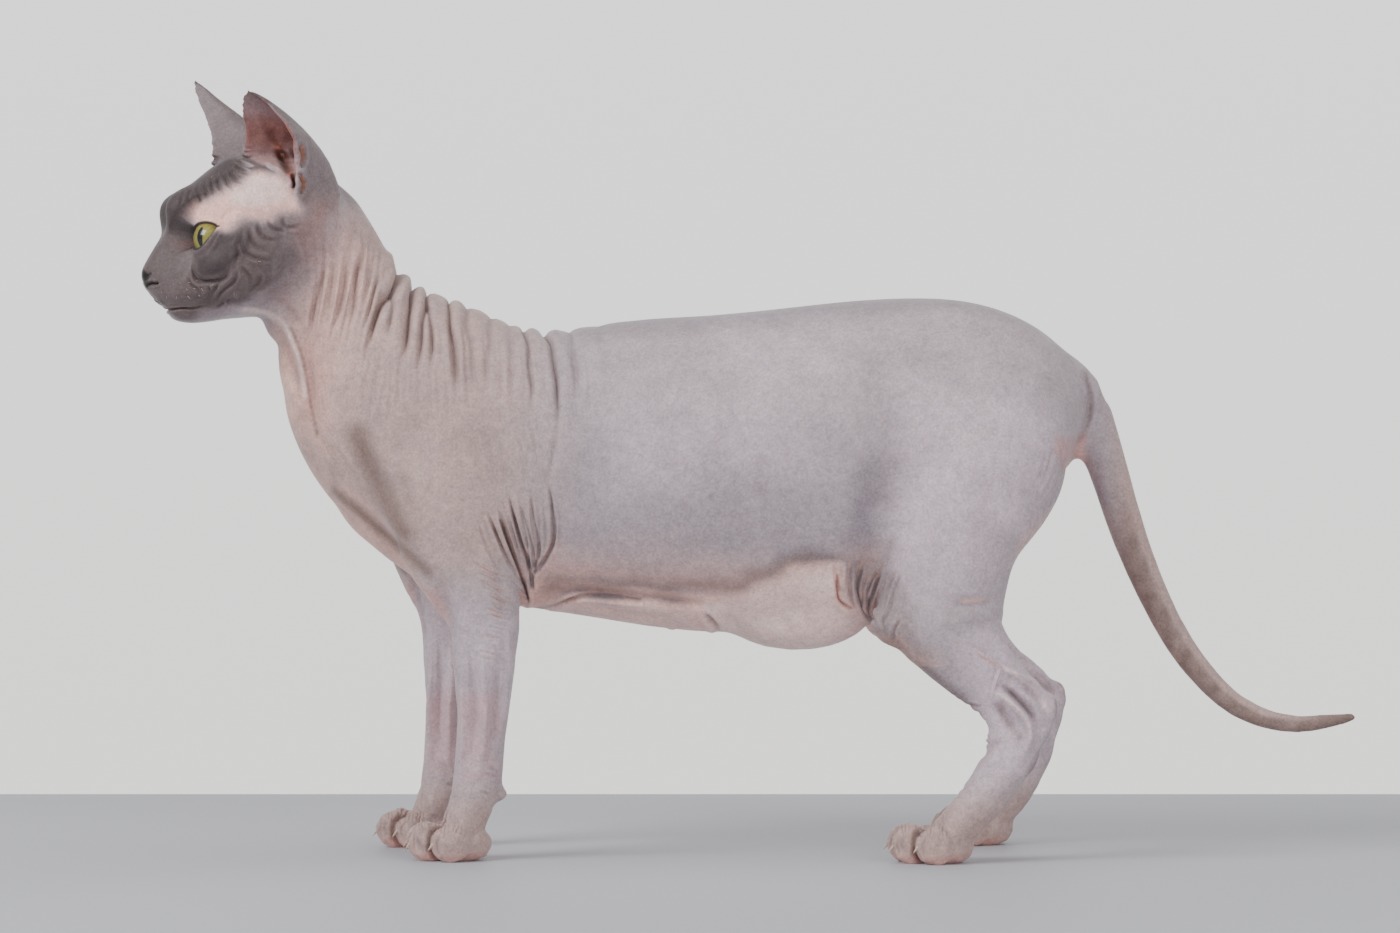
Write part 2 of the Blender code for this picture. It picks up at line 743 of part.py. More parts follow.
def make_ear(edges, neighbours):
    """A thin cup whose section curves from the inner edge, round the back, to the outer edge."""
    inner, back, outer = (
        smoothed(edges[key] + (edges["tip"],), 2) for key in ("inner", "back", "outer")
    )
    bend = np.linspace(0, 1, 11)[:, None]
    bm = bmesh.new()
    skins = []
    for sink in (0.0, 1.0):
        rows = []
        for i, (a, b, c) in enumerate(zip(inner[:-1], back[:-1], outer[:-1])):
            control = 2 * b - (a + c) / 2
            row = (1 - bend) ** 2 * a + 2 * bend * (1 - bend) * control + bend**2 * c
            middle = (a + c) / 2 * 0.75 + b * 0.25
            slope = middle - row
            slope /= np.linalg.norm(slope, axis=1)[:, None]
            thin = 1 - 0.35 * i / len(inner)
            rows.append([bm.verts.new(p) for p in row + slope * EAR_THICKNESS * thin * sink])
        skins.append(rows)
    tip = bm.verts.new(edges["tip"])
    for rows in skins:
        for lower, upper in zip(rows, rows[1:]):
            for i in range(len(lower) - 1):
                bm.faces.new((lower[i], lower[i + 1], upper[i + 1], upper[i]))
        for i in range(len(bend) - 1):
            bm.faces.new((rows[-1][i], rows[-1][i + 1], tip))
    for end in (0, -1):
        edge = [[rows[k][end] for k in range(len(rows))] for rows in skins]
        for k in range(len(edge[0]) - 1):
            bm.faces.new((edge[0][k], edge[0][k + 1], edge[1][k + 1], edge[1][k]))
        bm.faces.new((edge[0][-1], tip, edge[1][-1]))
    for i in range(len(bend) - 1):
        bm.faces.new((skins[0][0][i], skins[0][0][i + 1], skins[1][0][i + 1], skins[1][0][i]))
    bmesh.ops.triangulate(bm, faces=bm.faces)
    ear = object_of("ear", bm)
    for neighbour in neighbours:
        clearance = copy_of(neighbour, "clearance")
        place_points(clearance, points_of(clearance) + normals_of(clearance) * GAP * 1.2)
        combined(ear, clearance, "DIFFERENCE")
    return largest(ear)


# Cuts of the body: a point on each cut and the direction of the piece that it frees.
NECK_TOP_CUT = ((-186.0, 0.0, 283.0), (-0.848, 0.0, 0.529))
NECK_BASE_CUT = ((-163.0, 0.0, 228.5), (-0.857, 0.0, 0.516), 70.0)
TAIL_CUTS = {
    "tail_base": ((182.3, 0.0, 208.0), (0.99, 0.0, -0.12), 27.0),
    "tail_middle": ((204.6, 0.0, 141.5), (0.36, 0.0, -0.93), 15.0),
    "tail_tip": ((247.5, 0.0, 72.8), (0.76, 0.0, -0.65), 12.0),
}
THIGH_CUT = ((130.0, 0.0, 149.0), (0.634, 0.0, -0.773), 86.0)
MIDLINE_CUT = ((130.0, 0.0, 130.0), (0.0, 1.0, 0.0), 150.0)
FRONT_CUTS = {
    "front_leg": (Vector((-101.0, 37.0, 110.0)), (0.0, 0.0, -1.0), 28.0),
    "front_paw": (Vector((-106.5, 34.0, 23.5)), (-0.25, 0.0, -0.97), 20.0),
}
HIND_CUTS = {
    "hind_shank": (Vector((114.0, 43.0, 110.0)), (-0.38, 0.0, -0.92), 44.0),
    "hind_foot": (Vector((143.0, 46.0, 76.0)), (0.5, 0.0, -0.87), 22.0),
    "hind_paw": (Vector((121.0, 46.0, 20.5)), (-0.55, 0.0, -0.83), 18.0),
}


def part_body(body):
    """Parts the body into its pieces, and returns them by name."""
    pieces = {}
    pieces["neck"], torso = cut_off(body, "neck", *NECK_BASE_CUT)
    name = "tail_base"
    tail, torso = cut_off(torso, name, *TAIL_CUTS[name])
    for further_name in ("tail_middle", "tail_tip"):
        further, pieces[name] = cut_off(tail, further_name, *TAIL_CUTS[further_name])
        tail, name = further, further_name
    pieces[name] = tail
    hips, torso = cut_off(torso, "hips", *THIGH_CUT)
    for label, side in SIDES.items():
        centre, normal, half_size = FRONT_CUTS["front_leg"]
        centre = step_of(centre, side, FRONT_STRIDE)
        leg, torso = cut_off(torso, "front_leg", centre, normal, half_size)
        centre, normal, half_size = FRONT_CUTS["front_paw"]
        centre = step_of(centre, side, FRONT_STRIDE)
        paw, leg = cut_off(leg, "front_paw", centre, normal, half_size)
        pieces[f"front_leg_{label}"] = leg
        pieces[f"front_paw_{label}"] = paw
    pieces["torso"] = torso
    right, left = cut_off(hips, "hind_leg", *MIDLINE_CUT)
    for label, leg in (("left", left), ("right", right)):
        name = f"hind_thigh_{label}"
        for part, (centre, normal, half_size) in HIND_CUTS.items():
            centre = step_of(centre, SIDES[label], HIND_STRIDE)
            lower, pieces[name] = cut_off(leg, part, centre, normal, half_size)
            leg, name = lower, f"{part}_{label}"
        pieces[name] = leg
    return pieces


def finish(obj, name):
    """Names a piece, moves it to its place in metres, and shades and colours it."""
    obj.name = name
    obj.data.transform(Matrix.Scale(MM, 4) @ Matrix.Translation(-CENTRE))
    obj.data.shade_smooth()
    obj.data.set_sharp_from_angle(angle=math.radians(40))
    obj.data.materials.clear()
    obj.data.materials.append(bpy.data.materials[colour_of(name)])


def colour_of(name):
    if name.startswith("eye"):
        return "iris"
    if name.startswith(("ear", "tail")) or name == "head":
        return "skin_dark"
    if "paw" in name or "foot" in name:
        return "skin_pink"
    return "skin_grey"


def main():
    clear_scene()
    make_materials()
    forms = [make_trunk(), make_tail_form()] + make_head_forms() + make_legs() + make_belly_forms()
    whole = blended(joined("cat", forms))
    swell(whole, BODY_SWELLS, Vector)
    swell(whole, {**HEAD_SWELLS, **MIDLINE_SWELLS}, lambda point: head_turn() @ point)
    shape_lids(whole)
    smooth(whole, 0.5, 7)

    point, normal = Vector(NECK_TOP_CUT[0]), Vector(NECK_TOP_CUT[1]).normalized()
    head = thinned(copy_of(whole, "head"), HEAD_SHARE)
    body = thinned(whole, BODY_SHARE)
    combined(head, half_space(point + normal * GAP / 2, normal), "INTERSECT")
    combined(body, half_space(point - normal * GAP / 2, -normal), "INTERSECT")
    combined(body, half_space((0, 0, 0), (0, 0, -1)), "DIFFERENCE")

    pieces = {f"ear_{label}": make_ear(EARS[label], (head, body)) for label in SIDES}
    cut_mouth_and_nostrils(head)
    pieces |= make_eyes(head)
    pieces["head"] = largest(head)
    pieces |= part_body(body)
    for name, piece in pieces.items():
        finish(piece, name)


main()
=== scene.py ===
"""The looks of a life-size sphynx cat, laid out as an add-on and run as a script.

The solids of its flesh are grown together into one skin, which is then sculpted: folds, lids, lips,
tendons and toes. Lengths are millimetres in the frame of the solids, where the cat faces -X and its
left side is -Y. Folds and markings are placed by where they lie in the photo, in its pixels.
"""

import json
import math

import bmesh
import bpy
import numpy as np
from bpy.props import FloatProperty, FloatVectorProperty, PointerProperty
from mathutils import Matrix, Vector

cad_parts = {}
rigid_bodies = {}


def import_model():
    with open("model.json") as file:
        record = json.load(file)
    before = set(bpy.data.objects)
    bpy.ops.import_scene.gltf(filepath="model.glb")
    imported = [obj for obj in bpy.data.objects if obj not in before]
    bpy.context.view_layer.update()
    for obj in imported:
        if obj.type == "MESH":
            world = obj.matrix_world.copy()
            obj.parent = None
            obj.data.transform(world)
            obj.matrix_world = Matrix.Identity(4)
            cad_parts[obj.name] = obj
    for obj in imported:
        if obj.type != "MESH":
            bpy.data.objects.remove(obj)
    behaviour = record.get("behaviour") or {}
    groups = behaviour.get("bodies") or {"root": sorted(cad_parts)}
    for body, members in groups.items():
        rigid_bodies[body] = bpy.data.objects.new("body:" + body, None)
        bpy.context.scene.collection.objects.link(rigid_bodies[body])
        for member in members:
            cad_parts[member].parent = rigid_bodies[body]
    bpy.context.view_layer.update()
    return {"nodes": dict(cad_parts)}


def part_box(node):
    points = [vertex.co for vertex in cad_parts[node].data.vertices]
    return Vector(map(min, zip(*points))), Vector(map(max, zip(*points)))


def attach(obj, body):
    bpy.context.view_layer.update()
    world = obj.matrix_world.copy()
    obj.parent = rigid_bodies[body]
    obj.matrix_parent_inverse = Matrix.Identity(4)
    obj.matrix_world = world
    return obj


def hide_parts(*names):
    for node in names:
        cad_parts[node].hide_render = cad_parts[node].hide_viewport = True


bl_info = {
    "name": "Sphynx Cat",
    "version": (1, 0, 0),
    "blender": (4, 5, 0),
    "location": "3D View > Sidebar > Sphynx",
    "description": "Gives the solids of a sphynx cat their wrinkled skin, eyes, claws and whiskers",
    "category": "Object",
}

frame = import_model()

MM = 0.001
BODY = "root"

# The photo's view: where its camera stood, in metres, and its lens.
CAMERA_PLACE = Vector((-0.02415, -1.92, 0.1817))
LENS_MM = 105.0
SENSOR_MM = 36.0
IMAGE_WIDTH = 1400
IMAGE_HEIGHT = 933
PIXELS = LENS_MM / SENSOR_MM * IMAGE_WIDTH
# One pixel covers this much of the near flank.
PIXEL_MM = 0.46
# A crease this deep has its full painted shade, in mm.
FULL_SHADE_DEPTH = 2.0

# The head's own middle plane is turned about the top of the neck.
HEAD_YAW = math.radians(14)
HEAD_PIVOT = np.array((-199.15, 0.0, 0.0))
NECK_TOP = np.array((-210.15, 0.0, 283.0))
NECK_TOP_AXIS = np.array((-0.848, 0.0, 0.529))

# The right legs stand apart from the left ones: heights, and how far ahead or behind at each.
HEIGHTS = (0.0, 24.0, 50.0, 75.0, 118.0, 200.0)
FRONT_STRIDE = (-18.5, -18.5, -18.8, -19.0, -17.5, 0.0)
HIND_STRIDE = (25.0, 23.5, 14.8, 11.5, 3.0, 0.0)
# The right ear stands taller than the left and further forward, from its root to its tip.
EAR_HEIGHTS = (305.0, 315.0, 367.0)
EAR_AHEAD = (0.0, 7.3, 15.5)
EAR_LOWER = (0.0, 0.0, 12.4)


def linear(code):
    """A colour for Blender from its sRGB hex code."""
    out = []
    for i in (0, 2, 4):
        level = int(code[i : i + 2], 16) / 255
        out.append(level / 12.92 if level <= 0.04045 else ((level + 0.055) / 1.055) ** 2.4)
    return tuple(out)


def opaque(code):
    """The same colour with its alpha, as a node's socket takes it."""
    return (*linear(code), 1)


def eased(value, low, high):
    """0 up to the low value, 1 from the high one, and a soft step between."""
    share = np.clip((value - low) / (high - low), 0, 1)
    return share * share * (3 - 2 * share)


def bell(value, middle, reach):
    """1 at the middle, and almost 0 two reaches away from it."""
    return np.exp(-(((value - middle) / reach) ** 2))


def smoothed(rows, steps=4):
    """Rows between the given ones, on a Catmull-Rom curve through them."""
    rows = np.array(rows, float)
    padded = np.vstack((2 * rows[0] - rows[1], rows, 2 * rows[-1] - rows[-2]))
    out = []
    for i in range(len(rows) - 1):
        before, start, end, after = padded[i : i + 4]
        for t in np.arange(steps) / steps:
            bend = 2 * before - 5 * start + 4 * end - after
            twist = 3 * start - before - 3 * end + after
            out.append(0.5 * (2 * start + (end - before) * t + bend * t**2 + twist * t**3))
    out.append(rows[-1])
    return np.array(out)


def wander(points, size, seed, waves=7):
    """A smooth seeded noise from about -1 to 1, whose swings are about one size long."""
    draw = np.random.default_rng(seed)
    total = np.zeros(len(points))
    for _ in range(waves):
        way = draw.normal(size=3)
        way *= draw.uniform(0.7, 1.4) / np.linalg.norm(way)
        total += np.sin(points @ way * (2 * math.pi / (2 * size)) + draw.uniform(0, 2 * math.pi))
    return total / math.sqrt(waves)


def turned(points, angle):
    """Points turned about the head's pivot."""
    c, s = math.cos(angle), math.sin(angle)
    away = points - HEAD_PIVOT
    x = away[:, 0] * c - away[:, 1] * s
    y = away[:, 0] * s + away[:, 1] * c
    return np.stack((x, y, away[:, 2]), axis=1) + HEAD_PIVOT


def head_share(points):
    """1 on the head, 0 below the neck."""
    return eased((points - NECK_TOP) @ NECK_TOP_AXIS, -25.0, 5.0)


def on_left(points):
    """Where each point would lie on the left half of the cat, as the photo shows it."""
    x, y, z = points.T
    stride = np.where(x < 0, np.interp(z, HEIGHTS, FRONT_STRIDE), np.interp(z, HEIGHTS, HIND_STRIDE))
    body = np.stack((np.where(y > 0, x - stride, x), -np.abs(y), z), axis=1)
    head = turned(points, -HEAD_YAW)
    right = head[:, 1] > 0
    outer = eased(head[right, 1], 6.0, 20.0)
    head[right, 0] += np.interp(z[right], EAR_HEIGHTS, EAR_AHEAD) * outer
    head[right, 2] -= np.interp(z[right], EAR_HEIGHTS, EAR_LOWER) * outer
    head[right, 1] *= -1
    head = turned(head, HEAD_YAW)
    share = head_share(points)[:, None]
    return body * (1 - share) + head * share


def in_photo(points):
    """The photo's pixels that points in the frame fall on."""
    away = points * MM - np.array(CAMERA_PLACE)
    u = IMAGE_WIDTH / 2 + PIXELS * away[:, 0] / away[:, 1]
    v = IMAGE_HEIGHT / 2 - PIXELS * away[:, 2] / away[:, 1]
    return u, v


def path_distance(u, v, line):
    """How far each place is from a line, in pixels, and the share of the line's length it lies at."""
    best = np.full(len(u), 1e9)
    along = np.zeros(len(u))
    steps = np.linalg.norm(np.diff(line, axis=0), axis=1)
    starts = np.concatenate(([0.0], np.cumsum(steps)))
    for i, (a, b) in enumerate(zip(line, line[1:])):
        way = b - a
        share = np.clip(((u - a[0]) * way[0] + (v - a[1]) * way[1]) / max(way @ way, 1e-9), 0, 1)
        gap = np.hypot(u - a[0] - way[0] * share, v - a[1] - way[1] * share)
        nearer = gap < best
        best[nearer] = gap[nearer]
        along[nearer] = (starts[i] + steps[i] * share[nearer]) / starts[-1]
    return best, along


def near_line(u, v, line, reach):
    """Which places lie in the box round a line, with a margin."""
    low, high = line.min(axis=0) - reach, line.max(axis=0) + reach
    return np.flatnonzero((u > low[0]) & (u < high[0]) & (v > low[1]) & (v < high[1]))


def region(u, v, outline, soft):
    """1 inside a closed outline in the photo and 0 outside, with an edge as soft as given."""
    outline = np.array(outline, float)
    ring = np.vstack((outline, outline[:1]))
    out = np.zeros(len(u))
    near = near_line(u, v, ring, soft * 2)
    if not len(near):
        return out
    nu, nv = u[near], v[near]
    inside = np.zeros(len(near), bool)
    for (au, av), (bu, bv) in zip(ring, ring[1:]):
        if av == bv:
            continue
        crosses = (av > nv) != (bv > nv)
        inside ^= crosses & (nu < au + (nv - av) * (bu - au) / (bv - av))
    distance, _ = path_distance(nu, nv, ring)
    out[near] = eased(np.where(inside, distance, -distance), -soft, soft)
    return out


def rows_of(mesh, key):
    """The places or the normals of a mesh's points, one row each."""
    flat = np.empty(len(mesh.vertices) * 3, np.float32)
    mesh.vertices.foreach_get(key, flat)
    return flat.reshape(-1, 3).astype(float)


def place_points(mesh, points):
    """Moves a mesh's points to places given in mm."""
    mesh.vertices.foreach_set("co", (points * MM).astype(np.float32).ravel())
    mesh.update()


def store(mesh, fields):
    """Keeps a number for each point under each name, which the materials read."""
    for name, amount in fields.items():
        made = mesh.attributes.new(name, "FLOAT", "POINT")
        made.data.foreach_set("value", amount.astype(np.float32))


class Form:
    """The skin while it is being sculpted: its points, normals, photo places and paints."""

    def __init__(self, obj):
        self.obj = obj
        self.paints = {}
        self.read()

    def read(self):
        """Reads the skin's points and normals, and works out where the photo shows them."""
        self.points = rows_of(self.obj.data, "co") / MM
        self.normals = rows_of(self.obj.data, "normal")
        self.u, self.v = in_photo(on_left(self.points))
        self.rise = np.zeros(len(self.points))

    def write(self):
        """Moves the skin's points, and works out its normals again."""
        place_points(self.obj.data, self.points)

    def settle(self):
        """Pushes each point along its normal by what has been gathered so far."""
        self.points += self.normals * self.rise[:, None]
        self.write()
        self.read()

    def fold(self, path, width, depth, start=0.0, end=0.0, roll=0.45, stain=1.0, weight=None, spread=1.0):
        """A crease along a path in the photo, between two soft rolls. Width and depth are in mm.

        The start and the end say how much of its depth it has there, the roll and the spread how high
        and how far apart the rolls stand, and the shade strength how dark the painted shade in it is.
        """
        line = smoothed(path, 3)
        reach = width / PIXEL_MM
        near = near_line(self.u, self.v, line, reach * 5 * spread)
        if not len(near):
            return
        shift = wander(self.points[near], 16.0, 5) * reach * 0.35
        distance, along = path_distance(self.u[near] + shift, self.v[near], line)
        fade = np.minimum(start + along * 3.4, end + (1 - along) * 2.3).clip(0, 1)
        fade = fade * fade * (3 - 2 * fade)
        if weight is not None:
            fade = fade * weight[near]
        valley = bell(distance, 0, reach)
        rolls = bell(distance, reach * 2.3 * spread, reach * 1.3 * spread)
        self.rise[near] += (rolls * roll - valley) * depth * fade
        # Painted shade darkens the crease's valley.
        self.paint("crease", valley * fade * min(depth / FULL_SHADE_DEPTH, 1.0) * stain, near)

    def ridge(self, path, width, height, weight=None):
        """A tendon or vein that stands up under the skin."""
        self.fold(path, width, -height, roll=0.3, stain=0.0, weight=weight)

    def fan(self, first, last, count, width, depth, jitter=1.5, seed=1, **more):
        """Creases spread between two paths, uneven as real ones are."""
        first, last = np.array(first, float), np.array(last, float)
        draw = np.random.default_rng(seed)
        for share in np.linspace(0, 1, count):
            share = share + draw.uniform(-0.35, 0.35) / count
            path = first * (1 - share) + last * share
            path = path + draw.normal(0, jitter, 2) * 0.5
            ends = sorted(draw.uniform(0.0, 0.25, 2))
            path = smoothed(path, 4)
            path = path[int(len(path) * ends[0]) : max(int(len(path) * (1 - ends[1])), 3)]
            strength = draw.uniform(0.4, 1.2)
            self.fold(path, width * draw.uniform(0.8, 1.25), depth * strength, **more)

    def swell(self, centre, reach, height):
        """A soft rise or hollow round a place in the photo. Reach and height are in mm."""
        away = np.hypot(self.u - centre[0], self.v - centre[1]) * PIXEL_MM
        self.rise += height * np.exp(-((away / reach) ** 2))

    def draw(self, path, width, name, strength=1.0):
        """Paints a line in the photo. The width is in mm."""
        line = smoothed(path, 3)
        reach = width / PIXEL_MM
        near = near_line(self.u, self.v, line, reach * 3)
        distance, _ = path_distance(self.u[near], self.v[near], line)
        self.paint(name, bell(distance, 0, reach) * strength, near)

    def paint(self, name, amount, near=slice(None)):
        """Adds to a paint where the amount is more than what is there, at some points or at all."""
        paint = self.paints.setdefault(name, np.zeros(len(self.points)))
        paint[near] = np.maximum(paint[near], np.clip(amount, 0, 1))


# Creases of the nape and shoulder. Each starts over the top line: path, width, depth.
NAPE_FOLDS = (
    (((400, 262), (398, 278), (391.4, 292.5), (381.6, 306.8), (375.4, 324.6), (366.8, 353)), 1.24, 4.14),
    (((391.4, 296), (392.3, 308.6), (390.5, 322.9), (388, 340)), 0.83, 1.53),
    (((413.5, 278), (411.5, 292), (408.5, 312), (406.6, 333.6), (401.3, 370)), 1.15, 3.78),
    (((427, 286), (425.4, 303), (421.8, 319.3), (420.4, 337.1), (417.3, 378)), 1.01, 2.61),
    (((426.3, 306), (429.8, 321.1), (431.1, 337.1), (430.4, 370)), 0.92, 1.8),
    (((449, 292), (449.5, 308), (452.1, 333.6), (455.2, 369.3), (456.8, 408)), 1.06, 2.43),
    (((465.5, 300), (469, 325), (471.8, 355), (472.7, 402)), 1.38, 1.17),
    (((491.4, 308), (490.5, 337), (487, 364), (486, 398)), 1.38, 0.9),
    (((510, 318), (512, 345), (511, 380), (512, 420)), 1.56, 0.72),
    (((523.6, 324), (528, 344.3), (528.9, 365.7), (531.6, 390.7), (533, 416)), 1.1, 1.8),
    (((541, 326), (549.5, 344.3), (555.4, 372.9), (557.5, 408.6), (556, 442)), 1.2, 2.43),
    (((568, 326), (571.5, 348), (577, 378), (578, 410)), 1.66, 0.99),
    (((600, 318), (603, 345), (608, 380)), 2.21, 0.45),
)
# Wide soft hollows between the muscles: path, width, depth.
SOFT_HOLLOWS = (
    (((908, 400), (888, 470), (866, 545)), 9.0, 1.8),
    (((462, 425), (492, 470), (516, 520)), 7.0, 1.1),
    (((425, 395), (405, 445), (398, 500)), 7.0, 1.1),
    (((556, 430), (553, 460), (550, 490)), 1.5, 1.1),
    (((1000, 470), (985, 520), (985, 575)), 8.0, 0.9),
    (((930, 590), (960, 612), (985, 650)), 6.0, 0.8),
)
# Long soft folds down the side of the neck.
NECK_FOLDS = (
    (((378.9, 272), (375, 290), (370, 312), (365, 334)), 1.2, 1.6),
    (((362, 244), (357, 275), (353.9, 306), (347, 336)), 1.2, 1.9),
    (((349.5, 250), (345, 283), (339.6, 308), (331, 346)), 1.2, 1.7),
    (((338, 250), (332, 285), (327, 320), (322, 350)), 1.1, 1.1),
    (((370, 255), (366.5, 285), (361, 315)), 1.0, 1.1),
    (((326, 262), (319, 290), (313, 312), (309, 346)), 1.3, 1.5),
    (((356, 215), (352, 240), (346, 262)), 1.6, 0.7),
)
# Creases that gather at the back of the arm and the armpit.
ARMPIT_FOLDS = (
    (((487, 506), (493, 525), (503, 548), (511, 566), (520, 584), (526.5, 603)), 0.6, 0.9),
    (((499, 505), (503, 525), (510, 548), (517, 568), (524, 586), (528.5, 600)), 0.62, 2.3),
    (((508, 492), (513, 514), (519, 536), (526, 557), (530, 572), (531.5, 588)), 0.62, 1.7),
    (((516, 494), (523, 514), (529.5, 536), (533.5, 559), (533, 575)), 0.6, 0.9),
    (((530, 488), (533, 514), (536.8, 538), (537, 556), (532, 571)), 0.65, 1.3),
    (((548, 474), (551.5, 500), (553.5, 525), (552, 544), (544, 560), (533.5, 572)), 0.7, 1.3),
    (((512, 424), (520, 446), (530, 472)), 0.8, 0.4),
    (((528, 412), (533, 438), (539, 468)), 0.8, 0.45),
    (((478, 520), (484, 540), (492, 558), (500, 572)), 0.6, 0.5),
    (((534, 585), (552, 591), (600, 592), (650, 598), (700, 604)), 1.7, 1.3),
    (((538, 609), (558, 604), (580, 597), (610, 597), (640, 601)), 0.8, 1.5),
)
# Creases of the flank fold, ahead of the thigh.
FLANK_FOLDS = (
    (((838.5, 574), (837.5, 590), (840, 601.4), (851.6, 609)), 0.82, 1.37),
    (((852, 560), (848, 580), (851, 598), (860, 612)), 0.82, 1.08),
    (((863, 560), (858.2, 580), (858.2, 593), (863.2, 608), (871, 620)), 0.82, 1.44),
    (((879, 566), (870, 585), (866.5, 598)), 0.74, 1.01),
    (((884, 562), (876.4, 583), (869.8, 601.4), (870, 612), (876, 627)), 0.82, 1.44),
    (((894, 592), (887.2, 613), (883, 623), (886, 634)), 0.74, 1.01),
    (((901, 618), (894, 631), (894, 641)), 0.66, 0.72),
)
# Creases where the tail leaves the rump.
TAIL_FOLDS = (
    (((1085, 373), (1091, 398), (1089, 420), (1079, 441)), 1.3, 1.6),
    (((1098, 372), (1104, 400), (1100, 424)), 1.4, 0.8),
)
# Grooves of the shank and hock, and the raised tendons and vein between them.
SHANK_GROOVES = (
    (((1018, 650), (1035.6, 665), (1047, 677), (1056, 692)), 2.1, 5.53),
    (((1004, 612), (1009, 636), (1018, 652), (1034, 672)), 1.8, 2.76),
    (((1000, 684), (1017.4, 699), (1032.3, 715.8), (1039, 736)), 1.4, 3.57),
    (((1022, 682), (1036, 695), (1046, 708)), 1.6, 2.76),
    (((1055.5, 694), (1060, 707), (1057, 722), (1044, 750), (1028, 778), (1010, 800)), 1.2, 3.25),
    (((994, 702), (1008, 722), (1021, 737)), 2.3, 3.25),
    (((950, 606), (980, 604), (1000, 596)), 2.2, 1.46),
    (((975, 760), (990, 748), (1006, 742)), 2.0, 1.3),
)
SHANK_RIDGES = (
    (((969, 646), (984, 656), (999, 667), (996, 681), (990, 704)), 0.57, 1.5),
    (((1001, 667), (1020.7, 677.6), (1037, 692.6), (1048, 710)), 1.61, 2.81),
    (((994, 690), (1012, 704), (1026, 719), (1031, 738), (1022, 768)), 1.61, 2.62),
    (((1012, 630), (1030, 655), (1050, 676), (1062, 688)), 1.52, 1.88),
)
# Tendons and hollows of the front leg.
ARM_GROOVES = (
    (((430, 560), (439, 581), (447, 601), (453, 634), (455, 670)), 2.4, 1.75),
    (((356.5, 434), (368, 464), (386, 498), (402, 530)), 5.0, 2.25),
    (((333, 489), (360, 511), (384, 533), (408, 553), (428, 570)), 4.0, 1.88),
    (((400, 470), (408, 500), (412, 530)), 5.0, 1.12),
    (((470, 640), (473, 700), (474, 735), (477, 775)), 1.9, 1.62),
    (((500, 640), (497, 690), (494, 730), (488, 770)), 1.4, 1.38),
    (((455, 690), (452, 740), (446, 790)), 1.6, 1.0),
    (((496, 560), (500, 590), (505, 622)), 2.6, 1.25),
)
ARM_RIDGES = (
    (((484, 640), (485, 700), (484, 745), (480, 785)), 1.8, 1.8),
    (((461, 660), (463, 715), (462, 760), (456, 800)), 1.62, 1.44),
    (((430, 640), (432, 700), (430, 760)), 1.17, 1.26),
    (((509, 620), (508, 680), (502, 740)), 1.17, 1.08),
)
# Bands of the throat: the ridge under the jaw and the hollow beneath it.
THROAT_RIDGES = (
    (((252, 309), (268, 309), (280, 315), (289.3, 327.5), (297, 351), (306, 375)), 1.72, 3.3),
    (((276.4, 336), (283.4, 369), (295, 395), (300, 418)), 1.84, 1.98),
)
THROAT_GROOVES = (
    (((304, 340), (308, 375), (310, 402), (318, 430)), 1.98, 2.4),
    (((271, 330), (280, 350), (290, 374), (298, 394)), 3.3, 3.2),
)
# Wrinkles of the brow: short arcs that run down from the crown's edge.
BROW_FOLDS = (
    (((233.4, 158.5), (238.1, 163), (246.2, 165.8), (257, 167)), 0.62, 0.95),
    (((230.8, 164.5), (236.8, 168.5), (244, 171.5), (252, 174.5)), 0.62, 0.95),
    (((228.8, 168), (231.4, 175.2), (236.8, 180), (244, 183)), 0.62, 1.0),
    (((223, 171.5), (225.6, 179), (231.4, 187), (238, 192)), 0.62, 1.0),
    (((217, 174.5), (218, 183.2), (222, 190), (227, 195)), 0.62, 0.95),
    (((211, 177.5), (211.3, 185.9), (213.5, 191), (217, 196)), 0.6, 0.9),
    (((204.5, 181), (204, 187), (206.5, 193), (209, 197)), 0.6, 0.75),
    (((198, 185), (197, 191), (199, 196), (201, 200)), 0.6, 0.65),
    (((190, 190), (189, 196), (190, 202)), 0.6, 0.6),
    (((183, 196), (181.5, 202), (182, 208)), 0.6, 0.55),
    (((235, 153.5), (241, 156.8), (248, 158), (256, 158.5)), 0.6, 0.8),
    (((237, 149), (243, 152.3), (251, 153)), 0.55, 0.65),
    (((240, 145), (246, 148), (253, 148.6)), 0.55, 0.5),
)
# Arcs of loose skin behind the cheek.
CHEEK_ARCS = (
    (((240.8, 232), (242, 246), (248.8, 255.3), (259.5, 259.6), (276, 261)), 0.85, 1.15),
    (((248.8, 225), (251.5, 239), (259.5, 248.6), (270, 254)), 0.85, 1.1),
    (((257, 219.5), (259.5, 231), (266.2, 239.2), (279, 242)), 0.85, 1.1),
    (((266.5, 218), (270.3, 226), (277, 230.5), (287, 232)), 0.8, 1.0),
    (((280.5, 216), (283.7, 224.5), (290, 228), (303, 225)), 0.8, 0.9),
    (((238.5, 264), (246, 272.7), (251.5, 281), (247, 289)), 0.8, 0.9),
    (((262, 273), (256, 285), (246, 294.5)), 0.9, 0.8),
    (((285, 262), (278, 276), (268, 288)), 1.2, 0.6),
    (((236.8, 238), (238.3, 252.6), (234.5, 266)), 0.9, 1.0),
)
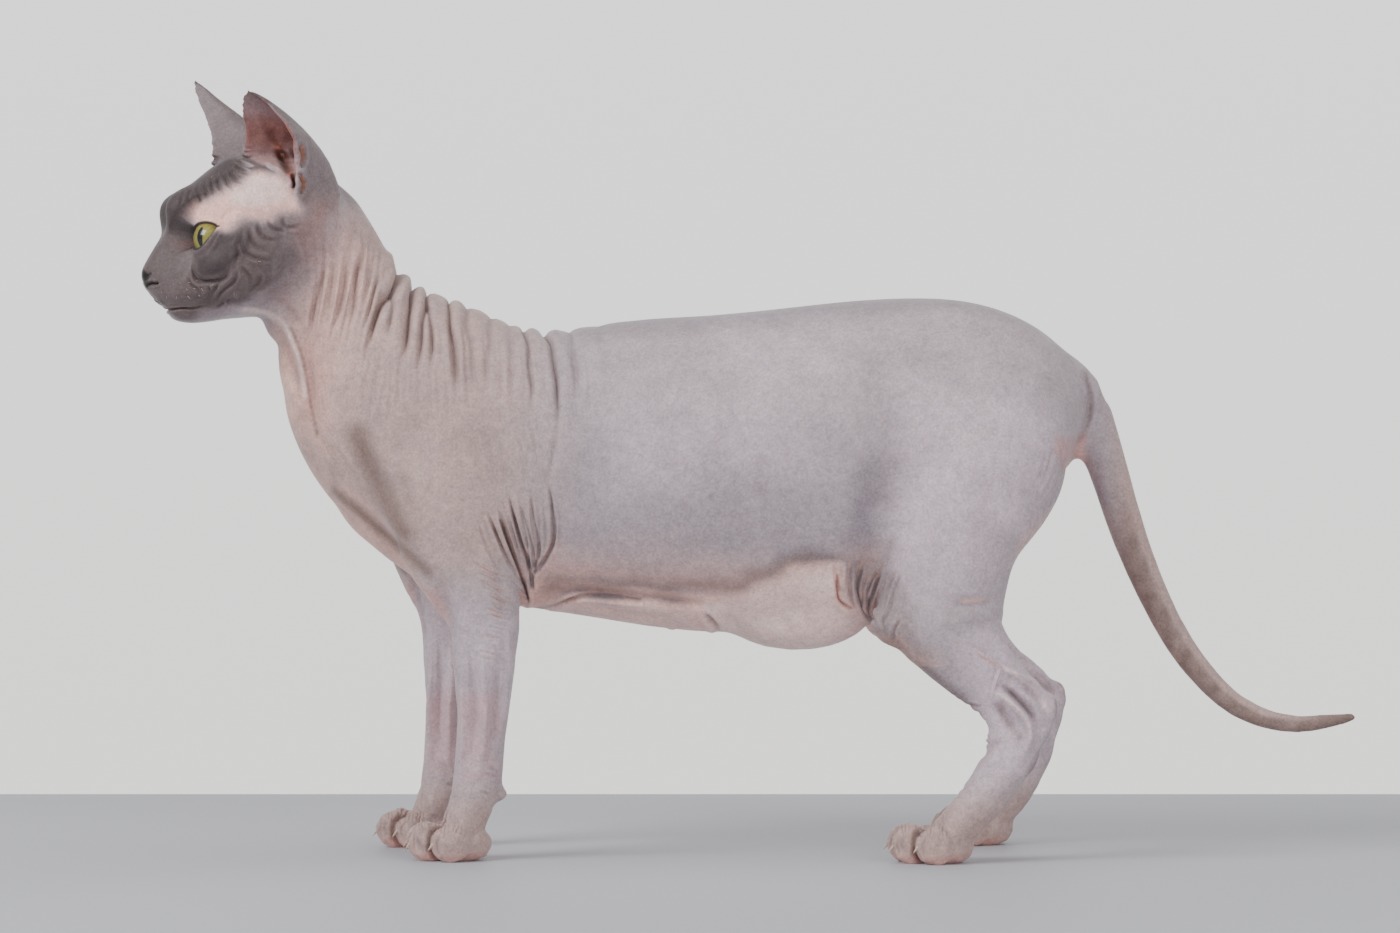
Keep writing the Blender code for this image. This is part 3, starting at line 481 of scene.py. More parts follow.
# The pouch of the cheek and the folds that run from it to the corner of the mouth.
MUZZLE_FOLDS = (
    (((188, 263), (192.6, 275.4), (199.3, 280.7), (210, 281.3), (220.7, 279.4), (227.4, 274), (231, 264)),
     0.8, 1.6),
    (((186.5, 273), (192, 284), (199.3, 290.5), (203.8, 299)), 0.75, 1.0),
    (((209.3, 283.4), (210, 291.4), (204.6, 303.5)), 0.7, 1.0),
    (((220.7, 280.7), (215.4, 288.7), (208, 302.5)), 0.7, 1.0),
    (((236.8, 270), (234.1, 280.7), (220.7, 292.8), (211.3, 305)), 0.75, 1.1),
    (((226, 300), (220, 306.5), (213, 309)), 0.7, 0.8),
    (((230, 296), (229, 303), (233, 308)), 0.7, 0.6),
)
# Bumps of the cheek, where a few whiskers grow: place, reach, height.
WARTS = (
    ((236.4, 294.2), 1.25, 1.1),
    ((258.0, 261.0), 1.1, 0.9),
    ((240.0, 268.0), 1.6, 0.4),
)
# Fans of short wrinkles: two guide paths, how many lie between them, width and depth.
WRINKLE_FANS = {
    "elbow": (((495, 584), (508, 596), (523, 608)), ((486, 612), (503, 617), (521, 622)), 10, 0.55, 0.85),
    "elbow_above": (((470, 560), (492, 572), (516, 582)), ((482, 590), (503, 600), (523, 608)), 8, 0.6, 0.5),
    "elbow_below": (((487, 622), (503, 626), (519, 628)), ((476, 655), (496, 658), (515, 657)), 9, 0.6, 0.42),
    "hock": (((967, 702), (976, 704), (987, 706)), ((982, 744), (989, 746), (997, 749)), 11, 0.6, 0.5),
    "knee": (((893, 638), (904, 630), (918, 622)), ((962, 712), (972, 702), (984, 692)), 22, 0.7, 0.14),
    "neck_side": (((318, 236), (314, 290), (306, 345), (300, 400)),
                  ((392, 266), (380, 310), (368, 352), (362, 400)), 17, 0.72, 0.75),
    "neck_top": (((345, 205), (352, 236), (352, 268)), ((392, 262), (384, 286), (374, 316)), 9, 0.7, 0.6),
    "neck_base": (((300, 350), (306, 392), (318, 436)), ((395, 372), (390, 412), (384, 452)), 11, 1.2, 0.5),
    "shoulder": (((372, 345), (366, 390), (358, 440)), ((470, 345), (478, 390), (486, 450)), 15, 0.95, 0.42),
    "withers": (((430, 312), (432, 356), (436, 408)), ((585, 345), (592, 395), (590, 450)), 19, 0.85, 0.5),
    "blade": (((440, 430), (452, 470), (470, 510)), ((540, 440), (546, 480), (548, 515)), 10, 1.1, 0.45),
    "armpit": (((484, 512), (500, 552), (523, 596)), ((556, 496), (554, 545), (534, 592)), 14, 0.55, 0.7),
    "armpit_below": (((516, 596), (523, 603), (532, 607)), ((512, 580), (524, 592), (536, 596)), 4, 0.6, 0.6),
    "chest": (((300, 430), (318, 470), (345, 512)), ((330, 425), (356, 466), (384, 512)), 7, 1.3, 0.5),
    "breast": (((330, 500), (365, 528), (400, 556)), ((318, 480), (350, 522), (396, 570)), 4, 1.4, 0.4),
    "far_arm": (((412, 590), (424, 630), (428, 680)), ((438, 585), (446, 640), (449, 690)), 7, 0.8, 0.45),
    "forearm": (((458, 640), (460, 690), (460, 740)), ((512, 640), (508, 690), (500, 740)), 9, 0.8, 0.22),
    "flank": (((832, 560), (836, 588), (848, 612)), ((902, 572), (890, 600), (884, 634)), 13, 0.65, 0.8),
    "thigh_front": (((880, 640), (900, 652), (925, 672)), ((905, 612), (925, 630), (950, 652)), 6, 1.0, 0.14),
    "foot": (((940, 790), (950, 800), (962, 806)), ((1000, 770), (1004, 784), (1006, 798)), 7, 0.8, 0.3),
    "haunch_back": (((1050, 440), (1040, 475), (1022, 510)),
                    ((1072, 452), (1056, 492), (1030, 535)), 5, 1.0, 0.5),
    "tail_root": (((1068, 372), (1078, 400), (1082, 432)),
                  ((1086, 372), (1098, 402), (1106, 436)), 5, 0.8, 0.45),
    "wrist": (((487, 768), (495, 772), (503, 780)), ((478, 790), (488, 794), (498, 798)), 5, 0.6, 0.5),
    "cheek_back": (((292, 236), (300, 262), (296, 296)), ((322, 220), (322, 262), (314, 300)), 6, 1.0, 0.4),
    "ear_back": (((262, 100), (280, 112), (296, 128)), ((330, 190), (320, 176), (306, 160)), 6, 1.2, 0.22),
    "belly_side": (((560, 600), (640, 612), (705, 618)), ((580, 606), (650, 618), (708, 624)), 3, 1.0, 0.45),
    "pouch": (((735, 612), (760, 640), (800, 646)), ((850, 606), (848, 626), (830, 640)), 4, 1.4, 0.5),
}

# Head features before the head turns: nose, nostril, mouth, in mm.
NOSE_TIP = np.array((-285.6, 0.0, 268.2))
NOSE_SIZE = (5.0, 6.8, 5.2)
CLEFT = ((-288.0, 0.0, 266.0), (-286.0, 0.0, 262.0), (-283.0, 0.0, 258.5), (-280.5, 0.0, 256.5))
# In the photo's pixels.
NOSTRIL = ((148.2, 285), (151, 283.4), (155, 284), (159, 281.5))
MOUTH = ((158, 302), (163, 307), (171, 309), (182, 307.4), (192, 308), (203, 306), (211, 307.5))
# Rows of broken whiskers as first place, last place and count, and the lone ones.
WHISKER_ROWS = (((164, 285), (196, 281), 5), ((161, 291), (201, 288), 6), ((166, 297), (198, 295), 4))
LONE_WHISKERS = ((236.1, 294.1), (258.2, 261.3), (211, 178), (219, 174))
# How a whisker leans from the skin and bends, how uneven that is, and how deep it is rooted.
WHISKER_LEAN = np.array((0.55, 0.0, -0.15))
WHISKER_BEND = np.array((0.12, 0.0, -0.12))
WHISKER_SPREAD = 0.22
WHISKER_ROOT = 0.3
SHORTEST_WHISKER = 0.45
# Soft forms of the face: place, reach, height.
FACE_SWELLS = (
    ((187, 294), 7.0, 1.3),
    ((176, 315), 5.0, 0.6),
    ((209, 265), 6.0, 1.5),
    ((203, 293), 4.0, 0.8),
    ((226, 291), 4.5, 1.0),
    ((247, 250), 5.0, 0.5),
    ((176, 250), 6.0, -0.5),
    ((214, 206), 5.0, 0.6),
)

# The eye: its gaze before the head turns, the tilt of its corners, and the opening of the lids.
EYE_GAZE = np.array((-0.86, 0.50, 0.04))
EYE_TILT = math.radians(20)
# The irises look further to the left of the head than the lids face.
IRIS_TURN = math.radians(11.6)
# The way that the hollow of the left ear faces.
EAR_FACES = np.array((-0.55, -0.82, 0.15))
OPENING_MIDDLE = (-0.4, 1.5)
OPENING_HALF = 9.2
OPENING_RISE = 4.3
OPENING_FALL = 5.9
LID_THICKNESS = 1.15
# How far the skin lies behind the eyeball's surface where the lids are open.
SOCKET_DEPTH = 3.0
PUPIL_HALF_WIDTH = 1.5
PUPIL_HALF_HEIGHT = 4.5
IRIS_RADIUS = 8.6
CORNEA_RISE = 0.9
# The eyeball stands this far inside the solid one, and its white has this iris radius and slit.
EYEBALL_INSET = 0.1
WHITE_RADIUS = 1.2
WHITE_SLIT = 9.0
# Streaks of the iris, as waves round it.
IRIS_WAVES = (17, 29, 43, 61)

# Toes from the paw's middle: ahead, towards the outside.
TOES = ((1.5, 11.4), (12.3, 5.0), (14.3, -4.7), (4.5, -11.2))
# Creases over each toe: how far ahead of the toe's middle, and how deep.
KNUCKLE_CREASES = ((-5.2, 0.35), (-3.4, 0.55), (-1.9, 0.4), (0.6, 0.3), (2.6, 0.6), (4.2, 0.45))
PAWS = ("front_paw_left", "front_paw_right", "hind_paw_left", "hind_paw_right")
PAW_MIDDLES = {"front": (-137.15, 34.0), "hind": (84.85, 46.0)}
PAW_REACH = 30
TOE_CLEFT_DEPTH = 2.7
# The claws fan out a little more than the toes.
CLAW_SPREAD = 1.04
CLAW_RADIUS = 1.3
# The claw's root from the toe's middle, ahead and up, and how it curves.
CLAW_AHEAD = 6.2
CLAW_HEIGHT = 9.6
CLAW_BEND = (-0.02, 0, -0.42)

# How far the solids swell before they are joined, and the room left round each eyeball.
JOIN_GROWTH = 0.25
SOCKET_ROOM = 0.7
# Rounds of smoothing of the joined skin, of its finer mesh and of the ears.
SKIN_ROUNDS = 300
FINE_ROUNDS = 4
EAR_ROUNDS = 70
# Each round over the ears first shrinks them by one factor, then swells them by the other.
EVENING = (0.5, -0.53)
# Steps in which a point's share of the smoothing is counted.
SHARE_STEPS = 25
# The finer mesh: the face lies ahead of a place and below a height, the creases of the armpit, flank
# and hock lie in boxes of the photo (left, top, right, bottom), some way from the middle plane.
FACE_BACK = -212
FACE_TOP = 330
CREASE_BOXES = ((478, 480, 560, 640), (830, 552, 912, 650), (958, 600, 1066, 760))
CREASE_SIDE = 12
# The finest mesh reaches this far from the nose and from each eye.
NOSE_REACH = 15.0
EYE_REACH = 14.0
# The soles end this far above the floor.
SOLE_HEIGHT = 0.05

# Markings of the body as paint, amount, softness of the edge and outline in the photo.
BODY_MARKS = (
    ("warm", 0.9, 12, ((270, 300), (300, 300), (350, 480), (430, 570), (400, 590), (330, 520), (285, 420))),
    ("pink", 1.0, 8, ((530, 597), (590, 600), (700, 598), (738, 592), (790, 566), (838, 562), (850, 600),
                       (874, 640), (700, 660), (530, 640))),
    # The pale pink pouch and underside of the belly, lightened further as painted light from below.
    ("bright", 0.7, 12, ((700, 606), (740, 596), (790, 574), (834, 566), (840, 596), (862, 622), (850, 660),
                         (700, 660))),
    ("bright", 0.45, 8, ((545, 604), (600, 600), (700, 606), (700, 640), (545, 630))),
    # Brown on the flank folds, and painted shade along the front edge of the thigh and over the pink of the
    # belly.
    ("umber_and_shade", 0.4, 8, ((846, 562), (890, 545), (905, 600), (935, 672), (905, 650), (880, 630), (858, 604))),
    ("umber_and_shade", 0.6, 6, ((864, 616), (900, 636), (962, 696), (990, 735), (978, 748), (938, 712), (870, 650))),
    ("umber_and_shade", 0.5, 9, ((545, 575), (640, 580), (735, 578), (800, 552), (846, 556), (800, 572), (735, 592),
                       (545, 592))),
    ("pink", 0.7, 4, ((252, 304), (272, 306), (285, 320), (297, 350), (300, 420), (284, 420), (272, 345),
                      (262, 318))),
    ("pink", 1.0, 3, ((533, 588), (556, 596), (590, 600), (545, 612), (526, 612))),
    # Deeper grey on the saddle and low flank, pigment and painted shade together.
    ("shade", 0.3, 45, ((560, 370), (690, 350), (750, 440), (860, 430), (900, 500), (860, 570), (540, 592))),
    ("shade", 1.0, 16, ((548, 560), (640, 566), (740, 572), (820, 545), (850, 560), (760, 592), (700, 602),
                        (545, 598))),
    ("shade", 0.9, 20, ((846, 470), (900, 450), (890, 520), (868, 575), (846, 580))),
    # Painted light on the mid torso, the back and the haunch, and paler stretched skin on the shank and
    # forearm.
    ("pale", 0.55, 40, ((590, 375), (800, 365), (830, 470), (620, 485))),
    ("pale", 0.8, 35, ((900, 380), (1030, 380), (1060, 450), (1000, 560), (930, 600), (890, 560))),
    ("pale", 0.8, 14, ((950, 640), (1010, 620), (1070, 690), (1000, 800), (960, 800), (985, 740))),
    ("pale", 0.6, 14, ((455, 600), (520, 620), (500, 770), (455, 780))),
    ("pale", 0.6, 40, ((720, 340), (860, 340), (830, 420), (740, 420))),
    ("pink", 0.38, 26, ((312, 205), (350, 215), (372, 262), (366, 330), (345, 400), (322, 470), (292, 420),
                        (285, 320))),
    ("flush", 0.3, 14, ((300, 330), (330, 340), (320, 420), (300, 420))),
    ("flush", 0.45, 6, ((1058, 440), (1082, 440), (1082, 470), (1058, 470))),
    ("flush", 0.3, 8, ((410, 590), (440, 590), (452, 760), (424, 760))),
    ("flush", 0.25, 8, ((458, 700), (500, 690), (498, 780), (462, 780))),
)
# Painted shade along hollows and painted highlight along crests: paint, path, width and strength.
SHADED_LINES = (
    ("umber_and_shade", ((284, 330), (291, 345), (297, 368), (301, 395)), 2.6, 0.35),
    ("umber_and_shade", ((291, 328), (300, 350), (305, 370), (310, 400), (317, 434)), 0.9, 0.7),
    ("umber_and_shade", ((357, 434), (368, 464), (386, 498), (404, 532)), 5.5, 0.75),
    ("umber_and_shade", ((335, 492), (360, 512), (384, 533), (408, 553), (428, 572)), 2.6, 0.75),
    ("umber_and_shade", ((400, 470), (408, 500), (414, 535)), 4.0, 0.25),
    ("umber_and_shade", ((1018, 652), (1035, 665), (1047, 679), (1055, 694)), 1.6, 0.5),
    ("umber_and_shade", ((1003, 686), (1018, 700), (1032, 716)), 1.3, 0.4),
    ("umber_and_shade", ((996, 704), (1009, 723), (1021, 738)), 1.6, 0.35),
    ("umber_and_shade", ((1056, 700), (1056, 722), (1043, 750), (1027, 778)), 0.9, 0.45),
    ("umber_and_shade", ((1085, 373), (1091, 398), (1089, 420), (1079, 441)), 1.2, 0.5),
    ("umber_and_shade", ((500, 520), (510, 548), (519, 570), (528, 598)), 0.6, 0.9),
    ("umber_and_shade", ((510, 500), (519, 536), (528, 563), (531.5, 586)), 0.5, 0.6),
    ("umber_and_shade", ((551, 506), (553, 530), (550, 548), (536, 569)), 0.6, 0.5),
    ("umber_and_shade", ((538, 609), (558, 604), (580, 597), (640, 599)), 0.8, 0.6),
    ("umber_and_shade", ((884, 562), (868, 590), (867, 612)), 0.7, 0.6),
    ("umber_and_shade", ((894, 595), (883, 616), (886, 632)), 0.6, 0.6),
    ("umber_and_shade", ((862, 566), (857, 584), (861, 606)), 0.6, 0.5),
    ("flush", ((837, 575), (837, 592), (841, 601), (851, 608)), 0.5, 0.9),
    # Painted highlights along the throat's ridge and the shank's tendons.
    ("bright", ((244, 310), (262, 312), (278, 321), (289, 335), (296, 352), (301, 370), (305, 396)),
     1.3, 0.6),
    ("bright", ((1004, 668), (1022, 679), (1038, 694), (1047, 710)), 1.0, 0.35),
    ("bright", ((996, 692), (1013, 706), (1027, 721), (1031, 738)), 1.0, 0.35),
)
# Markings of the head as paint, amount, softness of the edge and outline, as those of the body.
FACE_MARKS = (
    ("grey", 1.0, 9, ((141, 296), (136, 262), (150, 232), (152, 205), (180, 176), (205, 166), (238, 148),
                      (250, 172), (226, 190), (200, 203), (188, 214), (190, 226), (216, 230), (246, 224),
                      (268, 219), (284, 212), (290, 222), (288, 242), (282, 264), (270, 284), (254, 297),
                      (236, 304), (216, 313), (196, 326), (172, 318))),
    ("grey", 0.85, 20, ((262, 214), (306, 204), (326, 216), (328, 250), (316, 284), (288, 308), (256, 302))),
    ("flush", 0.22, 16, ((300, 216), (334, 204), (342, 240), (332, 272), (304, 266))),
    ("grey", 0.7, 8, ((296, 108), (330, 150), (346, 190), (340, 215), (318, 222), (300, 214), (297, 190),
                      (300, 150))),
    ("warm", 0.7, 7, ((306, 190), (330, 200), (330, 240), (314, 262), (304, 240))),
    ("temple", 1.0, 7, ((189, 213), (198, 206), (212, 199), (226, 193), (238, 186), (248, 178), (262, 171),
                        (284, 172), (292, 180), (297, 196), (296, 208), (282, 214), (262, 220), (244, 222),
                        (226, 228), (213, 227), (199, 222), (188, 222))),
    ("bright", 0.8, 7, ((232, 192), (244, 184), (256, 174), (276, 174), (288, 184), (290, 200), (272, 208),
                        (248, 208), (232, 206))),
    ("dark", 1.0, 6, ((206, 250), (216, 232), (238, 232), (250, 240), (240, 264), (229, 276), (205, 280),
                       (194, 274), (194, 258))),
    ("dark", 1.0, 8, ((152, 232), (153, 210), (168, 188), (190, 172), (215, 160), (232, 150), (243, 158),
                      (238, 172), (226, 184), (206, 198), (190, 212), (178, 232))),
    ("dark", 0.45, 10, ((140, 262), (150, 232), (178, 238), (192, 262), (180, 282), (150, 286))),
    ("dark", 0.35, 8, ((190, 296), (240, 292), (262, 270), (286, 240), (300, 250), (280, 284),
                       (236, 304), (200, 306))),
    ("dark", 0.3, 3, ((152, 296), (164, 300), (160, 308), (150, 300))),
)
# Outline of the left ear's hollow in the photo.
EAR_OPENING = (
    (243, 92), (252, 90), (262, 95), (275, 108), (287, 121), (294, 134), (298, 150), (299, 166),
    (297, 190), (288, 186), (276, 170), (262, 164), (246, 156), (240, 142), (242, 126), (239, 104),
)
# Hollows, grooves and ridges of the cartilage inside the ear: path, width, depth or height.
CANAL_FOLD = (((293.6, 178), (294.4, 183), (293.4, 187)), 0.8, 2.6)
EAR_FOLDS = (
    (((276, 150), (283, 158), (289, 168), (293, 174)), 2.2, 2.0),
    (((268, 128), (273, 138), (277, 147)), 2.4, 1.0),
)
EAR_RIDGES = (
    (((272, 146), (281, 149), (289, 153), (295, 163)), 1.1, 1.2),
    (((264, 160), (272, 168), (282, 172), (290, 176)), 1.1, 0.9),
    (((254, 108), (262, 128), (272, 144)), 1.6, 0.5),
)
# The pocket on the rear rim, and the rim round it.
POCKET_FOLDS = (
    (((300.5, 147), (303, 156), (302, 165)), 0.8, 1.6),
    (((300, 175), (303.8, 184), (301.5, 192)), 0.8, 1.6),
)
POCKET_RIM = (((304.5, 146), (306.5, 157), (304, 168), (305, 176), (307.5, 186), (304, 195)), 0.9, 0.8)
EAR_EDGE = ((243.5, 122), (240.5, 104), (243, 94), (249, 90.5), (258, 93), (268, 101))
# The red depth of the ear towards its canal, where painted shade also darkens it, and the two slits of the
# pocket.
EAR_CANAL = ((266, 128), (276, 130), (290, 156), (296, 178), (289, 180), (274, 156))
EAR_SLITS = (
    ((299.5, 145), (304, 146), (305.5, 158), (303, 167), (301, 160)),
    ((299.5, 174), (303, 175), (306, 185), (302, 194), (301, 184)),
)

# What the settings share.
TINT = {"subtype": "COLOR", "min": 0.0, "max": 1.0}
LENGTH = {"subtype": "DISTANCE", "unit": "LENGTH"}


class SkinSettings(bpy.types.PropertyGroup):
    voxel: FloatProperty(
        name="Grain of the form",
        description="Spacing of the skin's points when the solids are grown together",
        default=0.65 * MM,
        min=0.5 * MM,
        max=3 * MM,
        **LENGTH,
    )
    kept_share: FloatProperty(
        name="Kept triangles",
        description="Share of the finest triangles that the finished skin keeps",
        default=0.42,
        min=0.05,
        max=1.0,
        subtype="FACTOR",
    )


class ColourSettings(bpy.types.PropertyGroup):
    body: FloatVectorProperty(
        name="Body", description="Grey-lilac skin of the flank and back",
        default=linear("afa1a7"), **TINT
    )
    # Partly pigment, partly painted shade on the low flank, the saddle and along the top of the back.
    shade: FloatVectorProperty(
        name="Flank", description="Deeper lilac-grey pigment of the flank and spine",
        default=linear("857b82"), **TINT
    )
    # Also used as painted light on the mid torso, the back, the haunch and the top of the tail.
    pale: FloatVectorProperty(
        name="Shank", description="Paler lilac skin stretched over the haunch, shank and forearm",
        default=linear("cbb8c1"), **TINT
    )
    warm: FloatVectorProperty(
        name="Shoulder", description="Pinkish beige skin of the neck, shoulder and paws",
        default=linear("b49890"), **TINT
    )
    pink: FloatVectorProperty(
        name="Belly", description="Pale pink skin with no pigment, on the belly, throat and temple",
        default=linear("f0bfb3"), **TINT
    )
    grey: FloatVectorProperty(
        name="Face", description="Grey-brown pigment of the face, crown, ears and tail",
        default=linear("6b5d5d"), **TINT
    )
    # Also used as painted shade in the inner corner of each eye and deep in each ear.
    dark: FloatVectorProperty(
        name="Cheek", description="Darkest brown pigment, under the eye and on the brow",
        default=linear("453a3b"), **TINT
    )
    ear: FloatVectorProperty(
        name="Inner ear", description="Reddish brown skin inside the ears",
        default=linear("8c5449"), **TINT
    )
    iris: FloatVectorProperty(
        name="Iris", description="Yellow-olive colour of the iris",
        default=linear("92883c"), **TINT
    )
    claw: FloatVectorProperty(
        name="Claw", description="Pale horn of the claws",
        default=linear("d9c3b4"), **TINT
    )


class DetailSettings(bpy.types.PropertyGroup):
    claw_length: FloatProperty(
        name="Claw length",
        description="Length of each claw, most of it inside the toe",
        default=5.4 * MM,
        **LENGTH,
    )
    whisker_thickness: FloatProperty(
        name="Whisker thickness",
        description="Radius of a whisker at its root, a little over life so that it shows",
        default=0.15 * MM,
        **LENGTH,
    )
    whisker_length: FloatProperty(
        name="Whisker length",
        description="Length of the longest broken whisker",
        default=3.0 * MM,
        **LENGTH,
    )


class StageSettings(bpy.types.PropertyGroup):
    floor_depth: FloatProperty(
        name="Floor behind",
        description="How far the floor reaches behind the cat's middle plane",
        default=0.345,
        **LENGTH,
    )
    key_power: FloatProperty(
        name="Key light",
        description="Power of the large soft light on the left of the camera",
        default=46.0,
        unit="POWER",
    )
    fill_power: FloatProperty(
        name="Fill light",
        description="Power of the large soft light on the right of the camera",
        default=21.0,
        unit="POWER",
    )
    top_power: FloatProperty(
        name="Top light",
        description="Power of the soft light above the cat",
        default=12.0,
        unit="POWER",
    )
    low_power: FloatProperty(
        name="Low light",
        description="Power of the small soft light near the floor that lifts the belly",
        default=2.2,
        unit="POWER",
    )
    wall_level: FloatProperty(
        name="Wall",
        description="Brightness of the pale wall behind the cat",
        default=1.72,
        min=0.0,
    )
    room_level: FloatProperty(
        name="Room",
        description="Brightness of the rest of the room",
        default=0.46,
        min=0.0,
    )


def add(tree, kind, inputs=None, **settings):
    """Adds a node with its settings. Its inputs are values, or sockets to link."""
    node = tree.nodes.new(kind)
    for key, value in settings.items():
        setattr(node, key, value)
    for key, value in (inputs or {}).items():
        if isinstance(value, bpy.types.NodeSocket):
            tree.links.new(value, node.inputs[key])
        else:
            node.inputs[key].default_value = value
    return node


def new_material(name):
    """A node material with no nodes yet, and its tree."""
    made = bpy.data.materials.new(name)
    made.use_nodes = True
    made.node_tree.nodes.clear()
    return made, made.node_tree


def finish_material(tree, shader):
    """Joins the shader to the material's output."""
    add(tree, "ShaderNodeOutputMaterial", {"Surface": shader.outputs["BSDF"]})


def per_mm(size):
    """The scale of a pattern whose cells are as many mm across."""
    return 1 / (size * MM)


# Paints over the body colour, in order: paint, and where its colour comes from.
PAINT_ORDER = (
    ("shade", "shade"),
    ("pale", "pale"),
    ("warm", "warm"),
    ("pink", "pink"),
    ("grey", "grey"),
    ("temple", "pink"),
    ("dark", "dark"),
    ("ear", "ear"),
)
# Paints of one fixed colour over those.
FIXED_PAINTS = (
    # Umber is brown on the flank folds and tail, and painted shade along hollows and on the low flank.
    ("umber_and_shade", linear("6f5b54")),
    # Bright is pale skin on the temple and belly, with painted light under the belly and painted highlights
    # on crests.
    ("bright", linear("fce0da")),
    ("flush", linear("c08078")),
    ("orange", linear("b97f62")),
    # Black is also painted shadow at the opening of each ear canal.
    ("black", linear("1c1617")),
)
# The middle part of a noise's range, which its levels are spread over.
NOISE_SPAN = {"From Min": 0.3, "From Max": 0.7}


def make_skin_material(colours):
    """Bare living skin under a down too short to see: it scatters light and has a soft satin bloom."""
    material, tree = new_material("bare_skin")
    place = add(tree, "ShaderNodeTexCoord").outputs["Object"]
    noises = {}
    # Sizes in mm: blotches of pigment, mottling, the grain of the down and the pores.
    for name, size, detail in (("blotch", 16, 3), ("mottle", 3.5, 4), ("grain", 1.1, 3), ("pore", 0.55, 2)):
        made = add(tree, "ShaderNodeTexNoise", {"Vector": place, "Scale": per_mm(size), "Detail": detail})
        noises[name] = made.outputs["Fac"]
    colour = (*colours.body, 1)
    # Each paint's edge is made uneven by the blotches, and its share is drawn towards the full one.
    span = {**NOISE_SPAN, "To Min": -0.12, "To Max": 0.12}
    uneven = add(tree, "ShaderNodeMapRange", {"Value": noises["blotch"], **span}).outputs[0]
    layers = [(paint, getattr(colours, key)) for paint, key in PAINT_ORDER] + list(FIXED_PAINTS)
    for paint, shade in layers:
        amount = add(tree, "ShaderNodeAttribute", attribute_name=paint).outputs["Fac"]
        edge = add(tree, "ShaderNodeMath", {0: amount, 1: uneven}, operation="ADD").outputs[0]
        share = add(tree, "ShaderNodeMath", {0: edge, 1: amount}, operation="MULTIPLY", use_clamp=True)
        root = add(tree, "ShaderNodeMath", {0: share.outputs[0], 1: 0.5}, operation="POWER").outputs[0]
        mix = add(tree, "ShaderNodeMix", {0: root, 6: colour, 7: (*shade, 1)}, data_type="RGBA")
        colour = mix.outputs[2]
    # Mottling and the down's grain lighten and darken the skin a little.
    for name, low, high in (("blotch", 0.92, 1.07), ("mottle", 0.9, 1.1), ("grain", 0.83, 1.16)):
        span = {**NOISE_SPAN, "To Min": low, "To Max": high}
        level = add(tree, "ShaderNodeMapRange", {"Value": noises[name], **span}).outputs[0]
        inputs = {0: 1.0, 6: colour, 7: level}
        colour = add(tree, "ShaderNodeMix", inputs, data_type="RGBA", blend_type="MULTIPLY").outputs[2]
    # Painted shade darkens the creases, folds and clefts towards a deep brown.
    crease = add(tree, "ShaderNodeAttribute", attribute_name="crease").outputs["Fac"]
    deep = add(tree, "ShaderNodeMath", {0: crease, 1: 0.55}, operation="MULTIPLY", use_clamp=True).outputs[0]
    inputs = {0: deep, 6: colour, 7: opaque("574340")}
    colour = add(tree, "ShaderNodeMix", inputs, data_type="RGBA").outputs[2]
    # Cells of fine creases, as in soft leather, and the share of a cell that its creases take.
    inputs = {"Vector": place, "Scale": per_mm(1.7)}
    cells = add(tree, "ShaderNodeTexVoronoi", inputs, feature="DISTANCE_TO_EDGE").outputs["Distance"]
    inputs = {"Value": cells, "From Min": 0.0, "From Max": 0.14, "To Min": 0.0, "To Max": 1.0}
    creases = add(tree, "ShaderNodeMapRange", inputs).outputs[0]
    # Each kind of relief with its strength and its height in mm.
    reliefs = (
        (noises["mottle"], 0.30, 0.35),
        (creases, 0.18, 0.10),
        (noises["grain"], 0.45, 0.16),
        (noises["pore"], 0.3, 0.08),
    )
    normal = None
    for height, strength, distance in reliefs:
        inputs = {"Height": height, "Strength": strength, "Distance": distance * MM}
        if normal is not None:
            inputs["Normal"] = normal
        normal = add(tree, "ShaderNodeBump", inputs).outputs["Normal"]
    wet = add(tree, "ShaderNodeAttribute", attribute_name="moist").outputs["Fac"]
    inputs = {"Value": wet, "From Min": 0.0, "From Max": 1.0, "To Min": 0.56, "To Max": 0.34}
    rough = add(tree, "ShaderNodeMapRange", inputs).outputs[0]
    shader = add(
        tree,
        "ShaderNodeBsdfPrincipled",
        {
            "Base Color": colour,
            "Roughness": rough,
            "Normal": normal,
            "IOR": 1.4,
            "Specular IOR Level": 0.42,
            "Subsurface Weight": 0.16,
            "Subsurface Radius": (1.0, 0.35, 0.2),
            "Subsurface Scale": 2.2 * MM,
            "Sheen Weight": 0.18,
            "Sheen Roughness": 0.45,
        },
    )
    finish_material(tree, shader)
    return material


